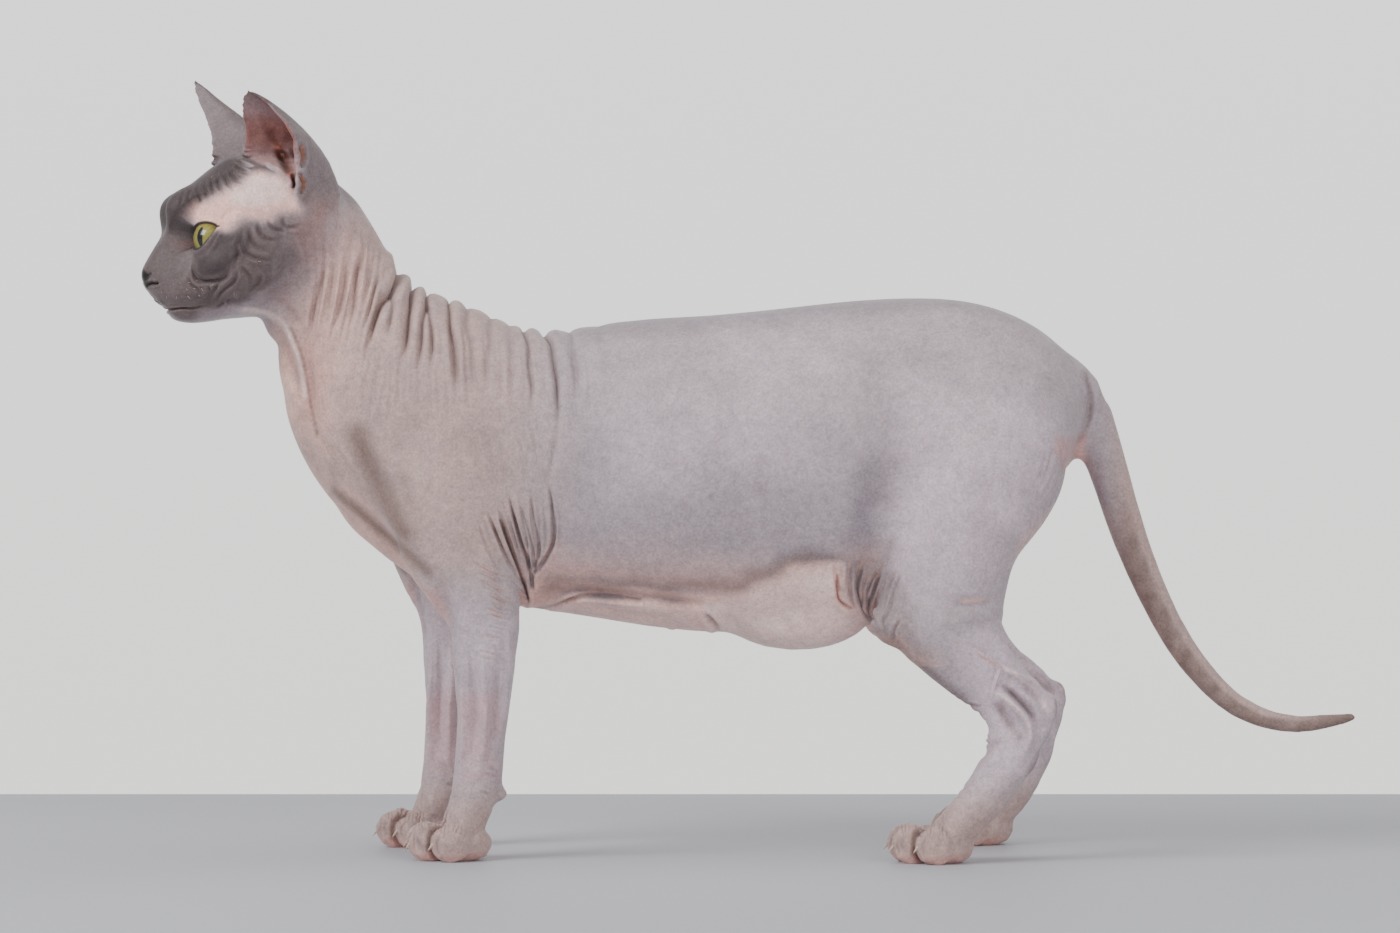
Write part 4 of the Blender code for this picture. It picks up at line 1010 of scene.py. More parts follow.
def make_eye_material(colours):
    """A living eye: a pigmented iris with a slit pupil, under a wet cornea that gives a sharp glint."""
    material, tree = new_material("wet_eye")
    place = add(tree, "ShaderNodeTexCoord").outputs["Object"]
    radius = add(tree, "ShaderNodeAttribute", attribute_name="iris_radius").outputs["Fac"]
    streak = add(tree, "ShaderNodeAttribute", attribute_name="streak").outputs["Fac"]
    slit = add(tree, "ShaderNodeAttribute", attribute_name="slit").outputs["Fac"]
    ramp = add(tree, "ShaderNodeValToRGB", {"Fac": radius})
    # Shares of the iris radius, from the pupil's edge out to the dark rim.
    stops = (
        (0.0, "67693a"),
        (0.3, "85823f"),
        (0.6, "968a40"),
        (0.82, "655328"),
        (0.93, "1e160e"),
        (1.0, "17100c"),
    )
    ramp.color_ramp.elements.remove(ramp.color_ramp.elements[1])
    for i, (at, code) in enumerate(stops):
        stop = ramp.color_ramp.elements[0] if i == 0 else ramp.color_ramp.elements.new(at)
        stop.position = at
        stop.color = opaque(code)
    inputs = {0: 0.35, 6: ramp.outputs["Color"], 7: (*colours.iris, 1)}
    colour = add(tree, "ShaderNodeMix", inputs, data_type="RGBA").outputs[2]
    inputs = {"Value": streak, "From Min": -1.0, "From Max": 1.0, "To Min": 0.8, "To Max": 1.2}
    level = add(tree, "ShaderNodeMapRange", inputs).outputs[0]
    inputs = {0: 1.0, 6: colour, 7: level}
    colour = add(tree, "ShaderNodeMix", inputs, data_type="RGBA", blend_type="MULTIPLY").outputs[2]
    inputs = {"Value": radius, "From Min": 0.93, "From Max": 1.02, "To Min": 0.0, "To Max": 1.0}
    rim = add(tree, "ShaderNodeMapRange", inputs).outputs[0]
    inputs = {"Vector": place, "Scale": per_mm(2.2), "Detail": 4}
    veins = add(tree, "ShaderNodeTexNoise", inputs).outputs["Fac"]
    inputs = {0: veins, 6: opaque("4a3229"), 7: opaque("7d5c4c")}
    white = add(tree, "ShaderNodeMix", inputs, data_type="RGBA").outputs[2]
    colour = add(tree, "ShaderNodeMix", {0: rim, 6: colour, 7: white}, data_type="RGBA").outputs[2]
    inputs = {"Value": slit, "From Min": 0.92, "From Max": 1.08, "To Min": 1.0, "To Max": 0.0}
    pupil = add(tree, "ShaderNodeMapRange", inputs).outputs[0]
    inputs = {0: pupil, 6: colour, 7: opaque("080707")}
    colour = add(tree, "ShaderNodeMix", inputs, data_type="RGBA").outputs[2]
    shader = add(
        tree,
        "ShaderNodeBsdfPrincipled",
        {
            "Base Color": colour,
            "Roughness": 0.35,
            "IOR": 1.38,
            "Coat Weight": 1.0,
            "Coat Roughness": 0.02,
            "Coat IOR": 1.4,
        },
    )
    finish_material(tree, shader)
    return material


def make_horn_material(colours):
    """Keratin of a claw or a whisker: pale, part clear and polished by wear."""
    material, tree = new_material("keratin")
    place = add(tree, "ShaderNodeTexCoord").outputs["Object"]
    inputs = {"Vector": place, "Scale": per_mm(0.8), "Detail": 3}
    grain = add(tree, "ShaderNodeTexNoise", inputs).outputs["Fac"]
    inputs = {0: grain, 6: (*colours.claw, 1), 7: opaque("b59a8a")}
    colour = add(tree, "ShaderNodeMix", inputs, data_type="RGBA").outputs[2]
    normal = add(tree, "ShaderNodeBump", {"Height": grain, "Strength": 0.3, "Distance": 0.05 * MM}).outputs[0]
    shader = add(
        tree,
        "ShaderNodeBsdfPrincipled",
        {
            "Base Color": colour,
            "Roughness": 0.3,
            "Normal": normal,
            "IOR": 1.54,
            "Subsurface Weight": 0.2,
            "Subsurface Radius": (1.0, 0.6, 0.4),
            "Subsurface Scale": 1.0 * MM,
        },
    )
    finish_material(tree, shader)
    return material


def make_floor_material():
    """Matt painted board: even and pale, with only a faint grain."""
    material, tree = new_material("painted_board")
    place = add(tree, "ShaderNodeTexCoord").outputs["Object"]
    inputs = {"Vector": place, "Scale": per_mm(2.0), "Detail": 3}
    grain = add(tree, "ShaderNodeTexNoise", inputs).outputs["Fac"]
    inputs = {0: grain, 6: opaque("b3b4ba"), 7: opaque("babbc1")}
    colour = add(tree, "ShaderNodeMix", inputs, data_type="RGBA").outputs[2]
    shader = add(tree, "ShaderNodeBsdfPrincipled", {"Base Color": colour, "Roughness": 0.62})
    finish_material(tree, shader)
    return material


def object_of(name, bm):
    """An object in the scene with the mesh that was built."""
    mesh = bpy.data.meshes.new(name)
    bm.to_mesh(mesh)
    bm.free()
    obj = bpy.data.objects.new(name, mesh)
    bpy.context.collection.objects.link(obj)
    return obj


def settled(obj):
    """Turns the object's modifiers into its mesh."""
    graph = bpy.context.evaluated_depsgraph_get()
    mesh = bpy.data.meshes.new_from_object(obj.evaluated_get(graph))
    obj.modifiers.clear()
    obj.data = mesh
    return obj


def flesh_nodes():
    """The solids that the skin covers: all but the eyeballs."""
    return [name for name in frame["nodes"] if not name.startswith("eye")]


def eye_place(label):
    """Centre of an eyeball and its radius, in mm."""
    low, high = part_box(f"eye_{label}")
    return np.array((low + high) / 2) / MM, (high - low).x / 2 / MM


def eye_axes(label):
    """The gaze of an eye, and its axes to the outer corner and up."""
    side = -1 if label == "left" else 1
    turn = np.array(Matrix.Rotation(HEAD_YAW, 3, "Z"))
    gaze = turn @ (EYE_GAZE * (1, side, 1))
    gaze = gaze / np.linalg.norm(gaze)
    outer = np.cross(gaze, (0, 0, 1)) * side
    outer /= np.linalg.norm(outer)
    up = np.cross(outer, gaze) * side
    return gaze, outer, up if up[2] > 0 else -up


def grown_together(voxel):
    """One closed skin from the solids of the flesh, with the thin gaps between them closed."""
    growth = JOIN_GROWTH * MM
    bm = bmesh.new()
    for name in flesh_nodes():
        part = bmesh.new()
        part.from_mesh(frame["nodes"][name].data)
        bmesh.ops.remove_doubles(part, verts=part.verts, dist=1e-6)
        part.normal_update()
        for vert in part.verts:
            vert.co += vert.normal * growth
        mesh = bpy.data.meshes.new("part")
        part.to_mesh(mesh)
        part.free()
        bm.from_mesh(mesh)
        bpy.data.meshes.remove(mesh)
    for label in ("left", "right"):
        centre, radius = eye_place(label)
        place = Matrix.Translation(Vector(centre) * MM)
        bmesh.ops.create_icosphere(bm, subdivisions=4, radius=(radius + SOCKET_ROOM) * MM, matrix=place)
    skin = object_of("skin", bm)
    remesh = skin.modifiers.new("grow", "REMESH")
    remesh.mode = "VOXEL"
    remesh.voxel_size = voxel
    return settled(skin)


def relax(obj, rounds, shares):
    """Smooths the skin, each point by its share."""
    group = obj.vertex_groups.new(name="shares")
    levels = np.round(shares * SHARE_STEPS) / SHARE_STEPS
    for level in np.unique(levels):
        if level > 0:
            group.add(np.flatnonzero(levels == level).tolist(), float(level), "REPLACE")
    smooth = obj.modifiers.new("relax", "SMOOTH")
    smooth.factor = 0.5
    smooth.iterations = rounds
    smooth.vertex_group = group.name
    settled(obj)
    obj.vertex_groups.clear()


def even_out(form, share):
    """Takes out steps and ripples of up to about 3 mm without shrinking the form."""
    mesh = form.obj.data
    count = len(mesh.vertices)
    flat = np.empty(len(mesh.edges) * 2, np.int32)
    mesh.edges.foreach_get("vertices", flat)
    pairs = flat.reshape(-1, 2)
    first, second = pairs[(share[pairs] > 0).any(axis=1)].T
    ends, others = np.concatenate((first, second)), np.concatenate((second, first))
    links = np.maximum(np.bincount(ends, minlength=count), 1)
    chosen = np.flatnonzero(share > 0)
    for _ in range(EAR_ROUNDS):
        for factor in EVENING:
            sums = (np.bincount(ends, form.points[others, i], count)[chosen] for i in range(3))
            mean = [total / links[chosen] for total in sums]
            step = np.stack(mean, axis=1) - form.points[chosen]
            form.points[chosen] += step * (share[chosen, None] * factor)
    form.write()
    form.read()


def relax_shares(points):
    """Much smoothing on the trunk, less on the legs, little on the face, ears, paws and tail."""
    x, _, z = points.T
    head = head_share(points)
    legs = eased(z, 135.0, 95.0)
    paws = eased(z, 34.0, 22.0)
    tail = eased(x, 160.0, 172.0)
    ears = eased(z, 312.0, 322.0) * head
    face = eased(x, -236.0, -250.0) * head
    share = np.ones(len(points))
    for mask, level in ((legs, 0.16), (tail, 0.12), (head, 0.16), (face, 0.08), (paws, 0.05), (ears, 0.1)):
        share = share * (1 - mask) + level * mask
    return share


def refine(obj, chosen):
    """Splits the chosen points' faces into four."""
    bm = bmesh.new()
    bm.from_mesh(obj.data)
    bm.verts.ensure_lookup_table()
    marked = [bm.verts[i] for i in np.flatnonzero(chosen)]
    edges = {e for vert in marked for e in vert.link_edges if chosen[e.other_vert(vert).index]}
    bmesh.ops.subdivide_edges(bm, edges=list(edges), cuts=1, use_grid_fill=True)
    bm.to_mesh(obj.data)
    bm.free()


def lid_gap(p, q):
    """How far a place is inside the opening between the lids, in mm, and less than 0 outside it."""
    p = p - OPENING_MIDDLE[0]
    q = q - OPENING_MIDDLE[1]
    share = np.clip(1 - (p / OPENING_HALF) ** 2, 0, 1)
    inside = np.minimum(OPENING_RISE * share**0.65 - q, q + OPENING_FALL * share**0.8)
    past = np.abs(p) - OPENING_HALF
    return np.where(past > 0, -np.hypot(past, q), inside)


def shape_lids(form):
    """Opens the skin over each eyeball with a rounded lid margin, a fold above and a soft bag below."""
    for label in ("left", "right"):
        centre, radius = eye_place(label)
        gaze, outer, up = eye_axes(label)
        away = form.points - centre
        distance = np.linalg.norm(away, axis=1)
        near = np.flatnonzero((distance < radius * 2.1) & (away @ gaze > 0.0))
        way = away[near] / distance[near, None]
        a, b = way @ outer * radius, way @ up * radius
        c, s = math.cos(EYE_TILT), math.sin(EYE_TILT)
        p, q = a * c + b * s, b * c - a * s
        gap = lid_gap(p, q)
        lid = radius + LID_THICKNESS
        cover = eased(gap, -5.5, -0.6) * eased(way @ gaze, 0.05, 0.35)
        shaped = distance[near] * (1 - cover) + lid * cover
        # The fold over the upper lid and the bag under the lower one, then the thick margins.
        upper = q > OPENING_MIDDLE[1]
        shaped += np.where(upper, -0.75 * bell(gap, -2.6, 0.5), -0.35 * bell(gap, -2.9, 0.6))
        shaped += np.where(upper, 0.35, 0.25) * bell(gap, -1.2, 0.7)
        # Between the lids the skin drops behind the eyeball.
        opened = eased(gap, -0.22, 0.42)
        shaped = shaped * (1 - opened) + (radius - SOCKET_DEPTH) * opened
        form.points[near] = centre + way * shaped[:, None]
        # The dark edge of the lids, and the corner by the nose, painted shade with a pink tint.
        form.paint("black", eased(gap, -0.75, -0.3) * 0.93, near)
        corner = eased(-p, 6.6, 8.2) * bell(q, 0.6, 2.4) * eased(gap, -4.2, -1.2)
        form.paint("dark", corner, near)
        form.paint("flush", corner * 0.5, near)
    form.write()
    form.read()


def sculpt_cleft(form, width=0.6, depth=1.3, roll=0.3):
    """The dark groove from the nose to the mouth, in the head's middle plane."""
    local = turned(form.points, -HEAD_YAW)
    local[:, 1] = np.abs(local[:, 1])
    line = smoothed(CLEFT)
    low, high = line.min(axis=0) - width * 4, line.max(axis=0) + width * 4
    near = np.flatnonzero(((local > low) & (local < high)).all(axis=1))
    spots = local[near]
    best = np.full(len(near), 1e9)
    for a, b in zip(line, line[1:]):
        way = b - a
        share = np.clip((spots - a) @ way / (way @ way), 0, 1)
        best = np.minimum(best, np.linalg.norm(spots - a - share[:, None] * way, axis=1))
    valley = bell(best, 0, width)
    form.rise[near] += (bell(best, width * 2.2, width * 1.1) * roll - valley) * depth
    form.paint("black", valley, near)


def sculpt_head(form):
    """Nose, nostrils, lips, whisker pads and the folds of the face."""
    local = turned(form.points, -HEAD_YAW)
    nose = np.exp(-(((local - NOSE_TIP) / NOSE_SIZE) ** 2).sum(axis=1))
    form.paint("black", eased(nose, 0.24, 0.42))
    form.paint("moist", eased(nose, 0.2, 0.5))
    sculpt_cleft(form)
    form.fold(NOSTRIL, 0.62, 2.3, start=0.6, roll=0.2)
    form.fold(MOUTH, 0.5, 1.35, start=1.0, roll=0.45, stain=0.6)
    form.draw(NOSTRIL, 0.75, "nostril")
    form.paint("black", form.paints.pop("nostril") * eased(nose, 0.02, 0.12))
    form.draw(MOUTH, 0.45, "dark", 0.35)
    for place, reach, height in FACE_SWELLS:
        form.swell(place, reach, height)
    form.settle()
    for path, width, depth in MUZZLE_FOLDS + CHEEK_ARCS:
        form.fold(path, width, depth, roll=0.5)
    edge = 1 - 0.85 * eased(form.normals[:, 2], 0.8, 0.94)
    for path, width, depth in BROW_FOLDS:
        form.fold(path, width, depth, roll=0.5, weight=edge)
    for place, reach, height in WARTS:
        form.swell(place, reach, height)
    form.settle()
    for u, v in whisker_places():
        form.draw(((u - 0.3, v), (u + 0.3, v)), 0.42, "dark", 0.8)


def sculpt_ears(form):
    """The hollow of each ear: its canal, the ridge of cartilage and the pocket on its rear rim."""
    # The right ear's normals are mirrored in the head's middle plane.
    normals = form.normals.copy()
    right = turned(form.points, -HEAD_YAW)[:, 1] > 0
    nx, ny = normals[right, 0].copy(), normals[right, 1].copy()
    c, s = math.cos(2 * HEAD_YAW), math.sin(2 * HEAD_YAW)
    normals[right, 0] = nx * c + ny * s
    normals[right, 1] = nx * s - ny * c
    facing = normals @ EAR_FACES
    inside = region(form.u, form.v, EAR_OPENING, 2.0) * eased(facing, 0.0, 0.35) * head_share(form.points)
    inside *= eased(form.points[:, 2], 306.0, 312.0)
    form.inside_ear = inside
    form.fold(*CANAL_FOLD, start=1.0, end=1.0, weight=inside)
    for path, width, depth in EAR_FOLDS:
        form.fold(path, width, depth, weight=inside)
    for path, width, height in EAR_RIDGES:
        form.ridge(path, width, height, weight=inside)
    for path, width, depth in POCKET_FOLDS:
        form.fold(path, width, depth, start=1.0, end=1.0)
    form.ridge(*POCKET_RIM)
    form.settle()
    even_out(form, eased(form.points[:, 2], 311.0, 318.0) * head_share(form.points))
    tall = eased(form.points[:, 2], 318.0, 326.0) * head_share(form.points)
    inside = form.inside_ear
    form.paint("grey", inside * eased(form.v, 116, 96) * 0.7)
    form.paint("ear", inside * bell(form.v, 134, 34) * 0.9)
    form.paint("pink", inside * eased(form.v, 150, 172) * 0.55)
    deep = region(form.u, form.v, EAR_CANAL, 5.0)
    form.paint("ear", inside * deep)
    # Painted shade darkens the deep part, and the canal's opening is painted black as its shadow.
    form.paint("dark", inside * deep * 0.18)
    form.draw(((293.6, 179), (294.4, 185.5)), 0.7, "black")
    form.draw(((286, 169), (290, 174), (293, 178)), 1.0, "ear")
    for outline in EAR_SLITS:
        form.paint("orange", region(form.u, form.v, outline, 0.9) * 0.75)
    form.draw(EAR_EDGE, 1.6, "rim")
    form.paint("dark", form.paints.pop("rim") * tall * 0.9)


def sculpt_body(form):
    """Folds of the neck, shoulder, armpit and flank, and the tendons of the legs."""
    for path, width, depth in NAPE_FOLDS:
        form.fold(path, width, depth, start=1.0, roll=0.36, spread=1.6)
    for group, tail_end in ((NECK_FOLDS, 0.0), (ARMPIT_FOLDS, 0.55), (FLANK_FOLDS, 0.3)):
        for path, width, depth in group:
            form.fold(path, width, depth, end=tail_end, roll=0.5, stain=0.9)
    for path, width, depth in TAIL_FOLDS:
        form.fold(path, width, depth, roll=0.3, stain=0.5)
    for group in (SHANK_GROOVES, ARM_GROOVES, THROAT_GROOVES, SOFT_HOLLOWS):
        for path, width, depth in group:
            form.fold(path, width, depth, roll=0.25, stain=0.25)
    for group in (SHANK_RIDGES, ARM_RIDGES, THROAT_RIDGES):
        for path, width, height in group:
            form.ridge(path, width, height)
    form.settle()
    for seed, (first, last, count, width, depth) in enumerate(WRINKLE_FANS.values()):
        form.fan(first, last, count, width, depth, seed=seed + 10, roll=0.4, stain=0.6)
    form.fold(((706, 616), (713, 622), (722, 632)), 1.2, 1.8, start=0.5)
    unevenness = wander(form.points, 26.0, 3) * 0.35
    form.rise += unevenness * (1 - head_share(form.points)) * eased(form.points[:, 2], 40, 120)
    form.settle()


def paw_middle(name):
    """The middle of a paw's sole, and the side it is on."""
    ahead, outside = PAW_MIDDLES[name.split("_")[0]]
    side = -1 if name.endswith("left") else 1
    if side > 0:
        ahead += FRONT_STRIDE[0] if name.startswith("front") else HIND_STRIDE[0]
    return np.array((ahead, side * outside, 0.0)), side


def folded_points(form):
    """The points of the armpits, flanks and hocks, whose creases are narrow."""
    chosen = np.zeros(len(form.points), bool)
    for left, top, right, bottom in CREASE_BOXES:
        chosen |= (form.u > left) & (form.u < right) & (form.v > top) & (form.v < bottom)
    return chosen & (np.abs(form.points[:, 1]) > CREASE_SIDE)


def toe_points(form):
    """The points of the toes, where the clefts and claws need a finer mesh."""
    chosen = np.zeros(len(form.points), bool)
    for name in PAWS:
        middle, _ = paw_middle(name)
        away = form.points - middle
        chosen |= (away[:, 0] < 2) & (np.hypot(away[:, 0], away[:, 1]) < 32) & (away[:, 2] < 26)
    return chosen


def sculpt_paws(form):
    """Deep clefts between the toes, and the creases over the knuckles."""
    for name in PAWS:
        middle, side = paw_middle(name)
        away = form.points - middle
        ahead, outside, height = -away[:, 0], away[:, 1] * side, away[:, 2]
        near = (np.hypot(ahead, outside) < PAW_REACH) & (height < PAW_REACH)
        for (a1, o1), (a2, o2) in zip(TOES, TOES[1:]):
            way = np.array(((a1 + a2) / 2 + 2.0, (o1 + o2) / 2))
            way /= np.linalg.norm(way)
            along = ahead * way[0] + outside * way[1]
            across = np.abs(outside * way[0] - ahead * way[1])
            strength = eased(along, 1.0, 8.0) * eased(height, 27, 18) * near
            form.rise -= bell(across, 0, 1.0) * strength * TOE_CLEFT_DEPTH
            # Painted shade in the cleft.
            form.paint("crease", bell(across, 0, 0.9) * strength * 0.8)
        form.rise += wander(form.points, 2.6, 33) * 0.16 * near
        for toe_ahead, toe_out in TOES:
            # The claw's sheath stands up between two grooves, which get painted shade.
            sheath = near * eased(ahead - toe_ahead, 2.5, 5.5) * bell(height, 9.0, 4.5)
            gap = np.abs(outside - toe_out * CLAW_SPREAD)
            form.rise += (0.8 * bell(gap, 0.0, 1.3) - 0.85 * bell(gap, 2.6, 0.7)) * sheath
            form.paint("crease", bell(gap, 2.6, 0.6) * sheath * 0.6)
            # Wavy creases over the top of the toe, with painted shade in them.
            reach = np.hypot(ahead - toe_ahead, outside - toe_out)
            top = near * eased(form.normals[:, 2], 0.15, 0.5) * eased(reach, 11, 8)
            wavy = ahead - toe_ahead + 0.5 * wander(form.points, 3.0, 31)
            for back, depth in KNUCKLE_CREASES:
                crease = bell(wavy, back, 0.42) * top
                form.rise -= crease * depth
                form.paint("crease", crease * depth * 0.8)
        pads = near * eased(-form.normals[:, 2], 0.1, 0.6) * eased(height, 5.0, 2.0)
        form.paint("flush", pads * 0.3)
        form.paint("pink", near * eased(height, 7.0, 2.0) * 0.35)
    form.settle()


def flatten_soles(form):
    """Nothing reaches below the floor."""
    form.points[:, 2] = np.maximum(form.points[:, 2], SOLE_HEIGHT)
    form.write()


def paint_body(form):
    """Where the skin is pink, beige or dark, and where painted light and shade fall, as shares from 0 to 1.
    """
    u = form.u + 3.0 * wander(form.points, 9.0, 21)
    v = form.v + 3.0 * wander(form.points, 9.0, 22)
    x, _, z = form.points.T
    down = -form.normals[:, 2]
    head = head_share(form.points)
    body = 1 - head
    outside_ears = 1 - form.inside_ear
    for name, amount, soft, outline in BODY_MARKS:
        form.paint(name, region(u, v, outline, soft) * body * amount)
    for name, path, width, strength in SHADED_LINES:
        form.draw(path, width, name, strength)
    # Beige on the shoulder, the paws and the tail; pink below, and painted shade along the top of the spine
    # where it faces up.
    form.paint("warm", eased(u, 600, 470) * body * 0.8 * (1 - eased(v, 540, 620)))
    form.paint("warm", eased(z, 45, 15) * 0.85)
    form.paint("warm", eased(x, 160, 180) * 0.9)
    form.paint("pink", eased(down, 0.25, 0.8) * body * (z > 90) * 0.8)
    spine = eased(form.normals[:, 2], 0.7, 0.97) * body * (z > 200)
    form.paint("shade", spine * 0.6)
    for name, amount, soft, outline in FACE_MARKS:
        form.paint(name, region(u, v, outline, soft) * head * outside_ears * amount)
    # Grey on the outside of the ears and on the crown.
    form.paint("grey", head * eased(z, 318, 326) * outside_ears * 0.7)
    crown = head * eased(form.normals[:, 2], 0.2, 0.7) * eased(z, 295, 305)
    form.paint("grey", crown * outside_ears)
    # The tail has a painted highlight where it faces up and back, painted shade mixed with brown on its
    # sides, and is dark towards its tip.
    tail = eased(x, 166, 184)
    highlit_side = eased(form.normals @ np.array((0.8, 0.0, 0.6)), 0.08, 0.5) * eased(x, 285, 235)
    form.paint("umber_and_shade", tail * (1 - highlit_side) * (0.62 + 0.1 * wander(form.points, 5.0, 41)))
    form.paint("pale", tail * highlit_side * 0.95)
    form.paint("dark", tail * eased(x, 250, 282) * 0.5)


class SPHYNX_OT_skin(bpy.types.Operator):
    """Grows the flesh solids together into one skin, sculpts it and paints it"""

    bl_idname = "sphynx.skin"
    bl_label = "Skin"

    def execute(self, context):
        settings = context.scene.sphynx_skin
        obj = grown_together(settings.voxel)
        form = Form(obj)
        relax(obj, SKIN_ROUNDS, relax_shares(form.points))
        form.read()
        head = head_share(form.points) > 0.9
        face = head & (form.points[:, 0] < FACE_BACK) & (form.points[:, 2] < FACE_TOP)
        refine(obj, face | toe_points(form) | folded_points(form))
        form.read()
        relax(obj, FINE_ROUNDS, np.where(head_share(form.points) > 0.5, 1.0, 0.2))
        form.read()
        nose = turned(np.array([NOSE_TIP]), HEAD_YAW)[0]
        fine = np.linalg.norm(form.points - nose, axis=1) < NOSE_REACH
        for label in ("left", "right"):
            centre, radius = eye_place(label)
            front = centre + eye_axes(label)[0] * radius
            fine |= np.linalg.norm(form.points - front, axis=1) < EYE_REACH
        refine(obj, fine)
        form.read()
        sculpt_body(form)
        sculpt_head(form)
        sculpt_ears(form)
        sculpt_paws(form)
        shape_lids(form)
        flatten_soles(form)
        paint_body(form)
        store(obj.data, form.paints)
        thin = obj.modifiers.new("thin", "DECIMATE")
        thin.ratio = settings.kept_share
        settled(obj)
        obj.data.shade_smooth()
        obj.data.materials.clear()
        obj.data.materials.append(make_skin_material(context.scene.sphynx_colours))
        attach(obj, BODY)
        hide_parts(*flesh_nodes())
        return {"FINISHED"}


class SPHYNX_OT_eyes(bpy.types.Operator):
    """Makes each eye, with its cornea, iris and slit pupil, in place of the plain eyeball"""

    bl_idname = "sphynx.eyes"
    bl_label = "Eyes"

    def execute(self, context):
        material = make_eye_material(context.scene.sphynx_colours)
        for label in ("left", "right"):
            centre, radius = eye_place(label)
            turn = np.array(Matrix.Rotation(IRIS_TURN, 3, "Z"))
            gaze, outer, up = (turn @ axis for axis in eye_axes(label))
            bm = bmesh.new()
            bmesh.ops.create_uvsphere(bm, u_segments=120, v_segments=90, radius=1.0)
            obj = object_of(f"eye_{label}_wet", bm)
            mesh = obj.data
            x, y, z = rows_of(mesh, "co").T
            across = np.hypot(x, y) * radius
            angle = np.arctan2(y, x)
            bulge = np.where(z > 0, CORNEA_RISE * eased(across, IRIS_RADIUS, 0.0), 0.0)
            reach = radius - EYEBALL_INSET + bulge
            spots = np.outer(x * reach, outer) + np.outer(y * reach, up) + np.outer(z * reach, gaze) + centre
            place_points(mesh, spots)
            if np.linalg.det(np.array((outer, up, gaze))) < 0:
                mesh.flip_normals()
            draw = np.random.default_rng(7)
            streak = np.zeros(len(x))
            for count in IRIS_WAVES:
                streak += np.cos(count * angle + draw.uniform(0, 6.3)) * draw.uniform(0.3, 0.5)
            slit = np.hypot(x * radius / PUPIL_HALF_WIDTH, y * radius / PUPIL_HALF_HEIGHT)
            fields = {
                "iris_radius": np.where(z > 0, across / IRIS_RADIUS, WHITE_RADIUS),
                "slit": np.where(z > 0, slit, WHITE_SLIT),
                "streak": streak * eased(across, 0.5, 4.0),
            }
            store(mesh, fields)
            mesh.update()
            mesh.shade_smooth()
            mesh.materials.append(material)
            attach(obj, BODY)
            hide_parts(f"eye_{label}")
        return {"FINISHED"}


def curved_cone(bm, base, way, bend, length, radius, steps=7, sides=10):
    """A horn that tapers from its root and curves as it goes."""
    way, bend = np.array(way, float), np.array(bend, float)
    rows = []
    for i in range(steps):
        share = i / steps
        centre = np.array(base) + (way * share + bend * share**2) * length
        along = way + 2 * bend * share
        along /= np.linalg.norm(along)
        across = np.cross(along, (0, 0, 1.0))
        across /= np.linalg.norm(across)
        over = np.cross(across, along)
        size = radius * (1 - share) ** 0.8
        ring = []
        for k in range(sides):
            angle = 2 * math.pi * k / sides
            spot = centre + (across * math.cos(angle) * 0.62 + over * math.sin(angle)) * size
            ring.append(bm.verts.new(spot * MM))
        rows.append(ring)
    tip = bm.verts.new((np.array(base) + (way + bend) * length) * MM)
    for lower, upper in zip(rows, rows[1:]):
        for k in range(sides):
            bm.faces.new((lower[k], lower[(k + 1) % sides], upper[(k + 1) % sides], upper[k]))
    for k in range(sides):
        bm.faces.new((rows[-1][k], rows[-1][(k + 1) % sides], tip))
    bm.faces.new(rows[0][::-1])


class SPHYNX_OT_claws(bpy.types.Operator):
    """Sets a part-sheathed claw in each toe"""

    bl_idname = "sphynx.claws"
    bl_label = "Claws"

    def execute(self, context):
        length = context.scene.sphynx_details.claw_length / MM
        material = make_horn_material(context.scene.sphynx_colours)
        for name in PAWS:
            middle, side = paw_middle(name)
            bm = bmesh.new()
            for ahead, outside in TOES:
                lean = outside * 0.03
                root = np.array((-(ahead + CLAW_AHEAD), side * outside * CLAW_SPREAD, CLAW_HEIGHT))
                way = (-0.78, side * lean, -0.42)
                curved_cone(bm, middle + root, way, CLAW_BEND, length, CLAW_RADIUS)
            bmesh.ops.recalc_face_normals(bm, faces=bm.faces)
            obj = object_of(name.replace("paw", "claws"), bm)
            obj.data.shade_smooth()
            obj.data.materials.append(material)
            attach(obj, BODY)
        return {"FINISHED"}


def whisker_places():
    """Where the photo shows each whisker's root."""
    rows = [np.linspace(first, last, count) for first, last, count in WHISKER_ROWS]
    return np.vstack((*rows, LONE_WHISKERS))


class SPHYNX_OT_whiskers(bpy.types.Operator):
    """Sets short broken whiskers in the pads of the muzzle, on the cheeks and over the eyes"""

    bl_idname = "sphynx.whiskers"
    bl_label = "Whiskers"

    def execute(self, context):
        settings = context.scene.sphynx_details
        longest = settings.whisker_length / MM
        thickness = settings.whisker_thickness / MM
        form = Form(bpy.data.objects["skin"])
        head = turned(form.points, -HEAD_YAW)
        face = (head_share(form.points) > 0.9) & (head[:, 0] < FACE_BACK)
        material = bpy.data.materials["keratin"]
        for label, side in (("left", -1), ("right", 1)):
            draw = np.random.default_rng(3 + side)
            chosen = np.flatnonzero(face & (head[:, 1] * side > 0))
            bm = bmesh.new()
            for u, v in whisker_places():
                # Of the places that fall on one pixel, the outermost is nearest.
                away = np.hypot(form.u[chosen] - u, form.v[chosen] - v) - 0.3 * np.abs(head[chosen, 1])
                spot = chosen[np.argmin(away)]
                normal = form.normals[spot]
                way = normal + WHISKER_LEAN + draw.normal(0, WHISKER_SPREAD, 3)
                way /= np.linalg.norm(way)
                base = form.points[spot] - normal * WHISKER_ROOT
                length = longest * draw.uniform(SHORTEST_WHISKER, 1.0)
                curved_cone(bm, base, way, WHISKER_BEND, length, thickness, 5, 6)
            bmesh.ops.recalc_face_normals(bm, faces=bm.faces)
            obj = object_of(f"whiskers_{label}", bm)
            obj.data.shade_smooth()
            obj.data.materials.append(material)
            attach(obj, BODY)
        return {"FINISHED"}


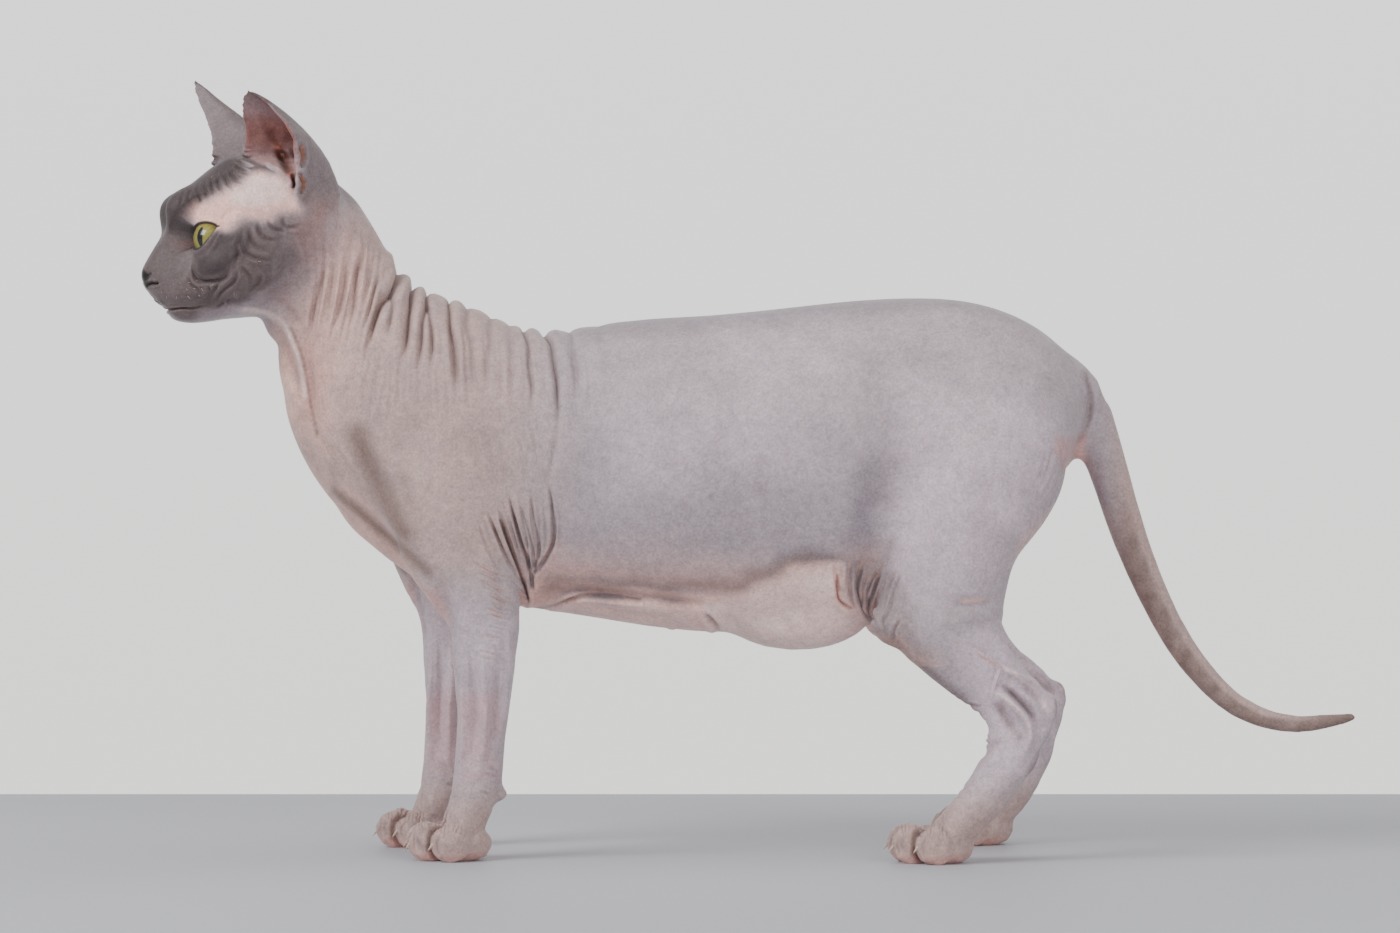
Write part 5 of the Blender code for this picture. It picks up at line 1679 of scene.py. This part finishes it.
class SPHYNX_OT_stage(bpy.types.Operator):
    """Lays the pale floor, hangs the soft lights and sets the camera where the photo's was"""

    bl_idname = "sphynx.stage"
    bl_label = "Stage"

    def execute(self, context):
        settings = context.scene.sphynx_stage
        bm = bmesh.new()
        side, ahead, behind = 3.0, -3.0, settings.floor_depth
        corners = ((-side, ahead), (side, ahead), (side, behind), (-side, behind))
        bm.faces.new([bm.verts.new((x, y, 0.0)) for x, y in corners])
        floor = object_of("floor", bm)
        floor.data.materials.append(make_floor_material())
        # Name, place, width and power of each light.
        lights = (
            ("key", (-1.7, -1.15, 1.5), 1.1, settings.key_power),
            ("fill", (1.3, -2.0, 1.1), 1.4, settings.fill_power),
            ("top", (0.3, 0.1, 1.9), 1.4, settings.top_power),
            ("low", (0.35, -1.3, 0.22), 0.5, settings.low_power),
        )
        aim = Vector((0.0, 0.0, 0.16))
        for name, place, size, power in lights:
            lamp = bpy.data.lights.new(name, "AREA")
            lamp.shape = "SQUARE"
            lamp.size = size
            lamp.energy = power
            obj = bpy.data.objects.new(name, lamp)
            obj.location = place
            obj.rotation_euler = (aim - Vector(place)).to_track_quat("-Z", "Y").to_euler()
            context.collection.objects.link(obj)
        world = bpy.data.worlds.new("studio")
        world.use_nodes = True
        tree = world.node_tree
        place = add(tree, "ShaderNodeTexCoord").outputs["Generated"]
        axes = add(tree, "ShaderNodeSeparateXYZ", {0: place}).outputs
        # The wall behind the cat is brighter than the room, and a little warmer near the floor.
        levels = {"To Min": settings.room_level, "To Max": settings.wall_level}
        inputs = {"Value": axes["Y"], "From Min": 0.72, "From Max": 0.92, **levels}
        level = add(tree, "ShaderNodeMapRange", inputs).outputs[0]
        inputs = {"Value": axes["Z"], "From Min": -0.06, "From Max": 0.12}
        share = add(tree, "ShaderNodeMapRange", inputs).outputs[0]
        inputs = {0: share, 6: opaque("efedea"), 7: opaque("f2f2f3")}
        tone = add(tree, "ShaderNodeMix", inputs, data_type="RGBA").outputs[2]
        sky = tree.nodes["Background"]
        tree.links.new(tone, sky.inputs["Color"])
        tree.links.new(level, sky.inputs["Strength"])
        context.scene.world = world
        lens = bpy.data.cameras.new("view")
        lens.lens = LENS_MM
        lens.sensor_width = SENSOR_MM
        camera = bpy.data.objects.new("view", lens)
        camera.location = CAMERA_PLACE
        camera.rotation_euler = (math.pi / 2, 0, 0)
        context.collection.objects.link(camera)
        context.scene.camera = camera
        return {"FINISHED"}


OPERATORS = (SPHYNX_OT_skin, SPHYNX_OT_eyes, SPHYNX_OT_claws, SPHYNX_OT_whiskers, SPHYNX_OT_stage)
SETTINGS = {
    "sphynx_skin": SkinSettings,
    "sphynx_colours": ColourSettings,
    "sphynx_details": DetailSettings,
    "sphynx_stage": StageSettings,
}


class SPHYNX_PT_panel(bpy.types.Panel):
    """Lists the steps and the settings of the cat"""

    bl_idname = "SPHYNX_PT_panel"
    bl_label = "Sphynx"
    bl_space_type = "VIEW_3D"
    bl_region_type = "UI"
    bl_category = "Sphynx"

    def draw(self, context):
        for operator in OPERATORS:
            self.layout.operator(operator.bl_idname)
        for name in SETTINGS:
            group = getattr(context.scene, name)
            for key in group.__annotations__:
                self.layout.prop(group, key)


def register():
    for made in (*SETTINGS.values(), *OPERATORS, SPHYNX_PT_panel):
        bpy.utils.register_class(made)
    for name, group in SETTINGS.items():
        setattr(bpy.types.Scene, name, PointerProperty(type=group))


def unregister():
    for name in SETTINGS:
        delattr(bpy.types.Scene, name)
    for made in reversed((*SETTINGS.values(), *OPERATORS, SPHYNX_PT_panel)):
        bpy.utils.unregister_class(made)


def main():
    for obj in list(bpy.data.objects):
        if obj.name in ("Cube", "Light", "Camera"):
            bpy.data.objects.remove(obj, do_unlink=True)
    register()
    for operator in OPERATORS:
        area, name = operator.bl_idname.split(".")
        getattr(getattr(bpy.ops, area), name)()


if __name__ == "__main__":
    main()
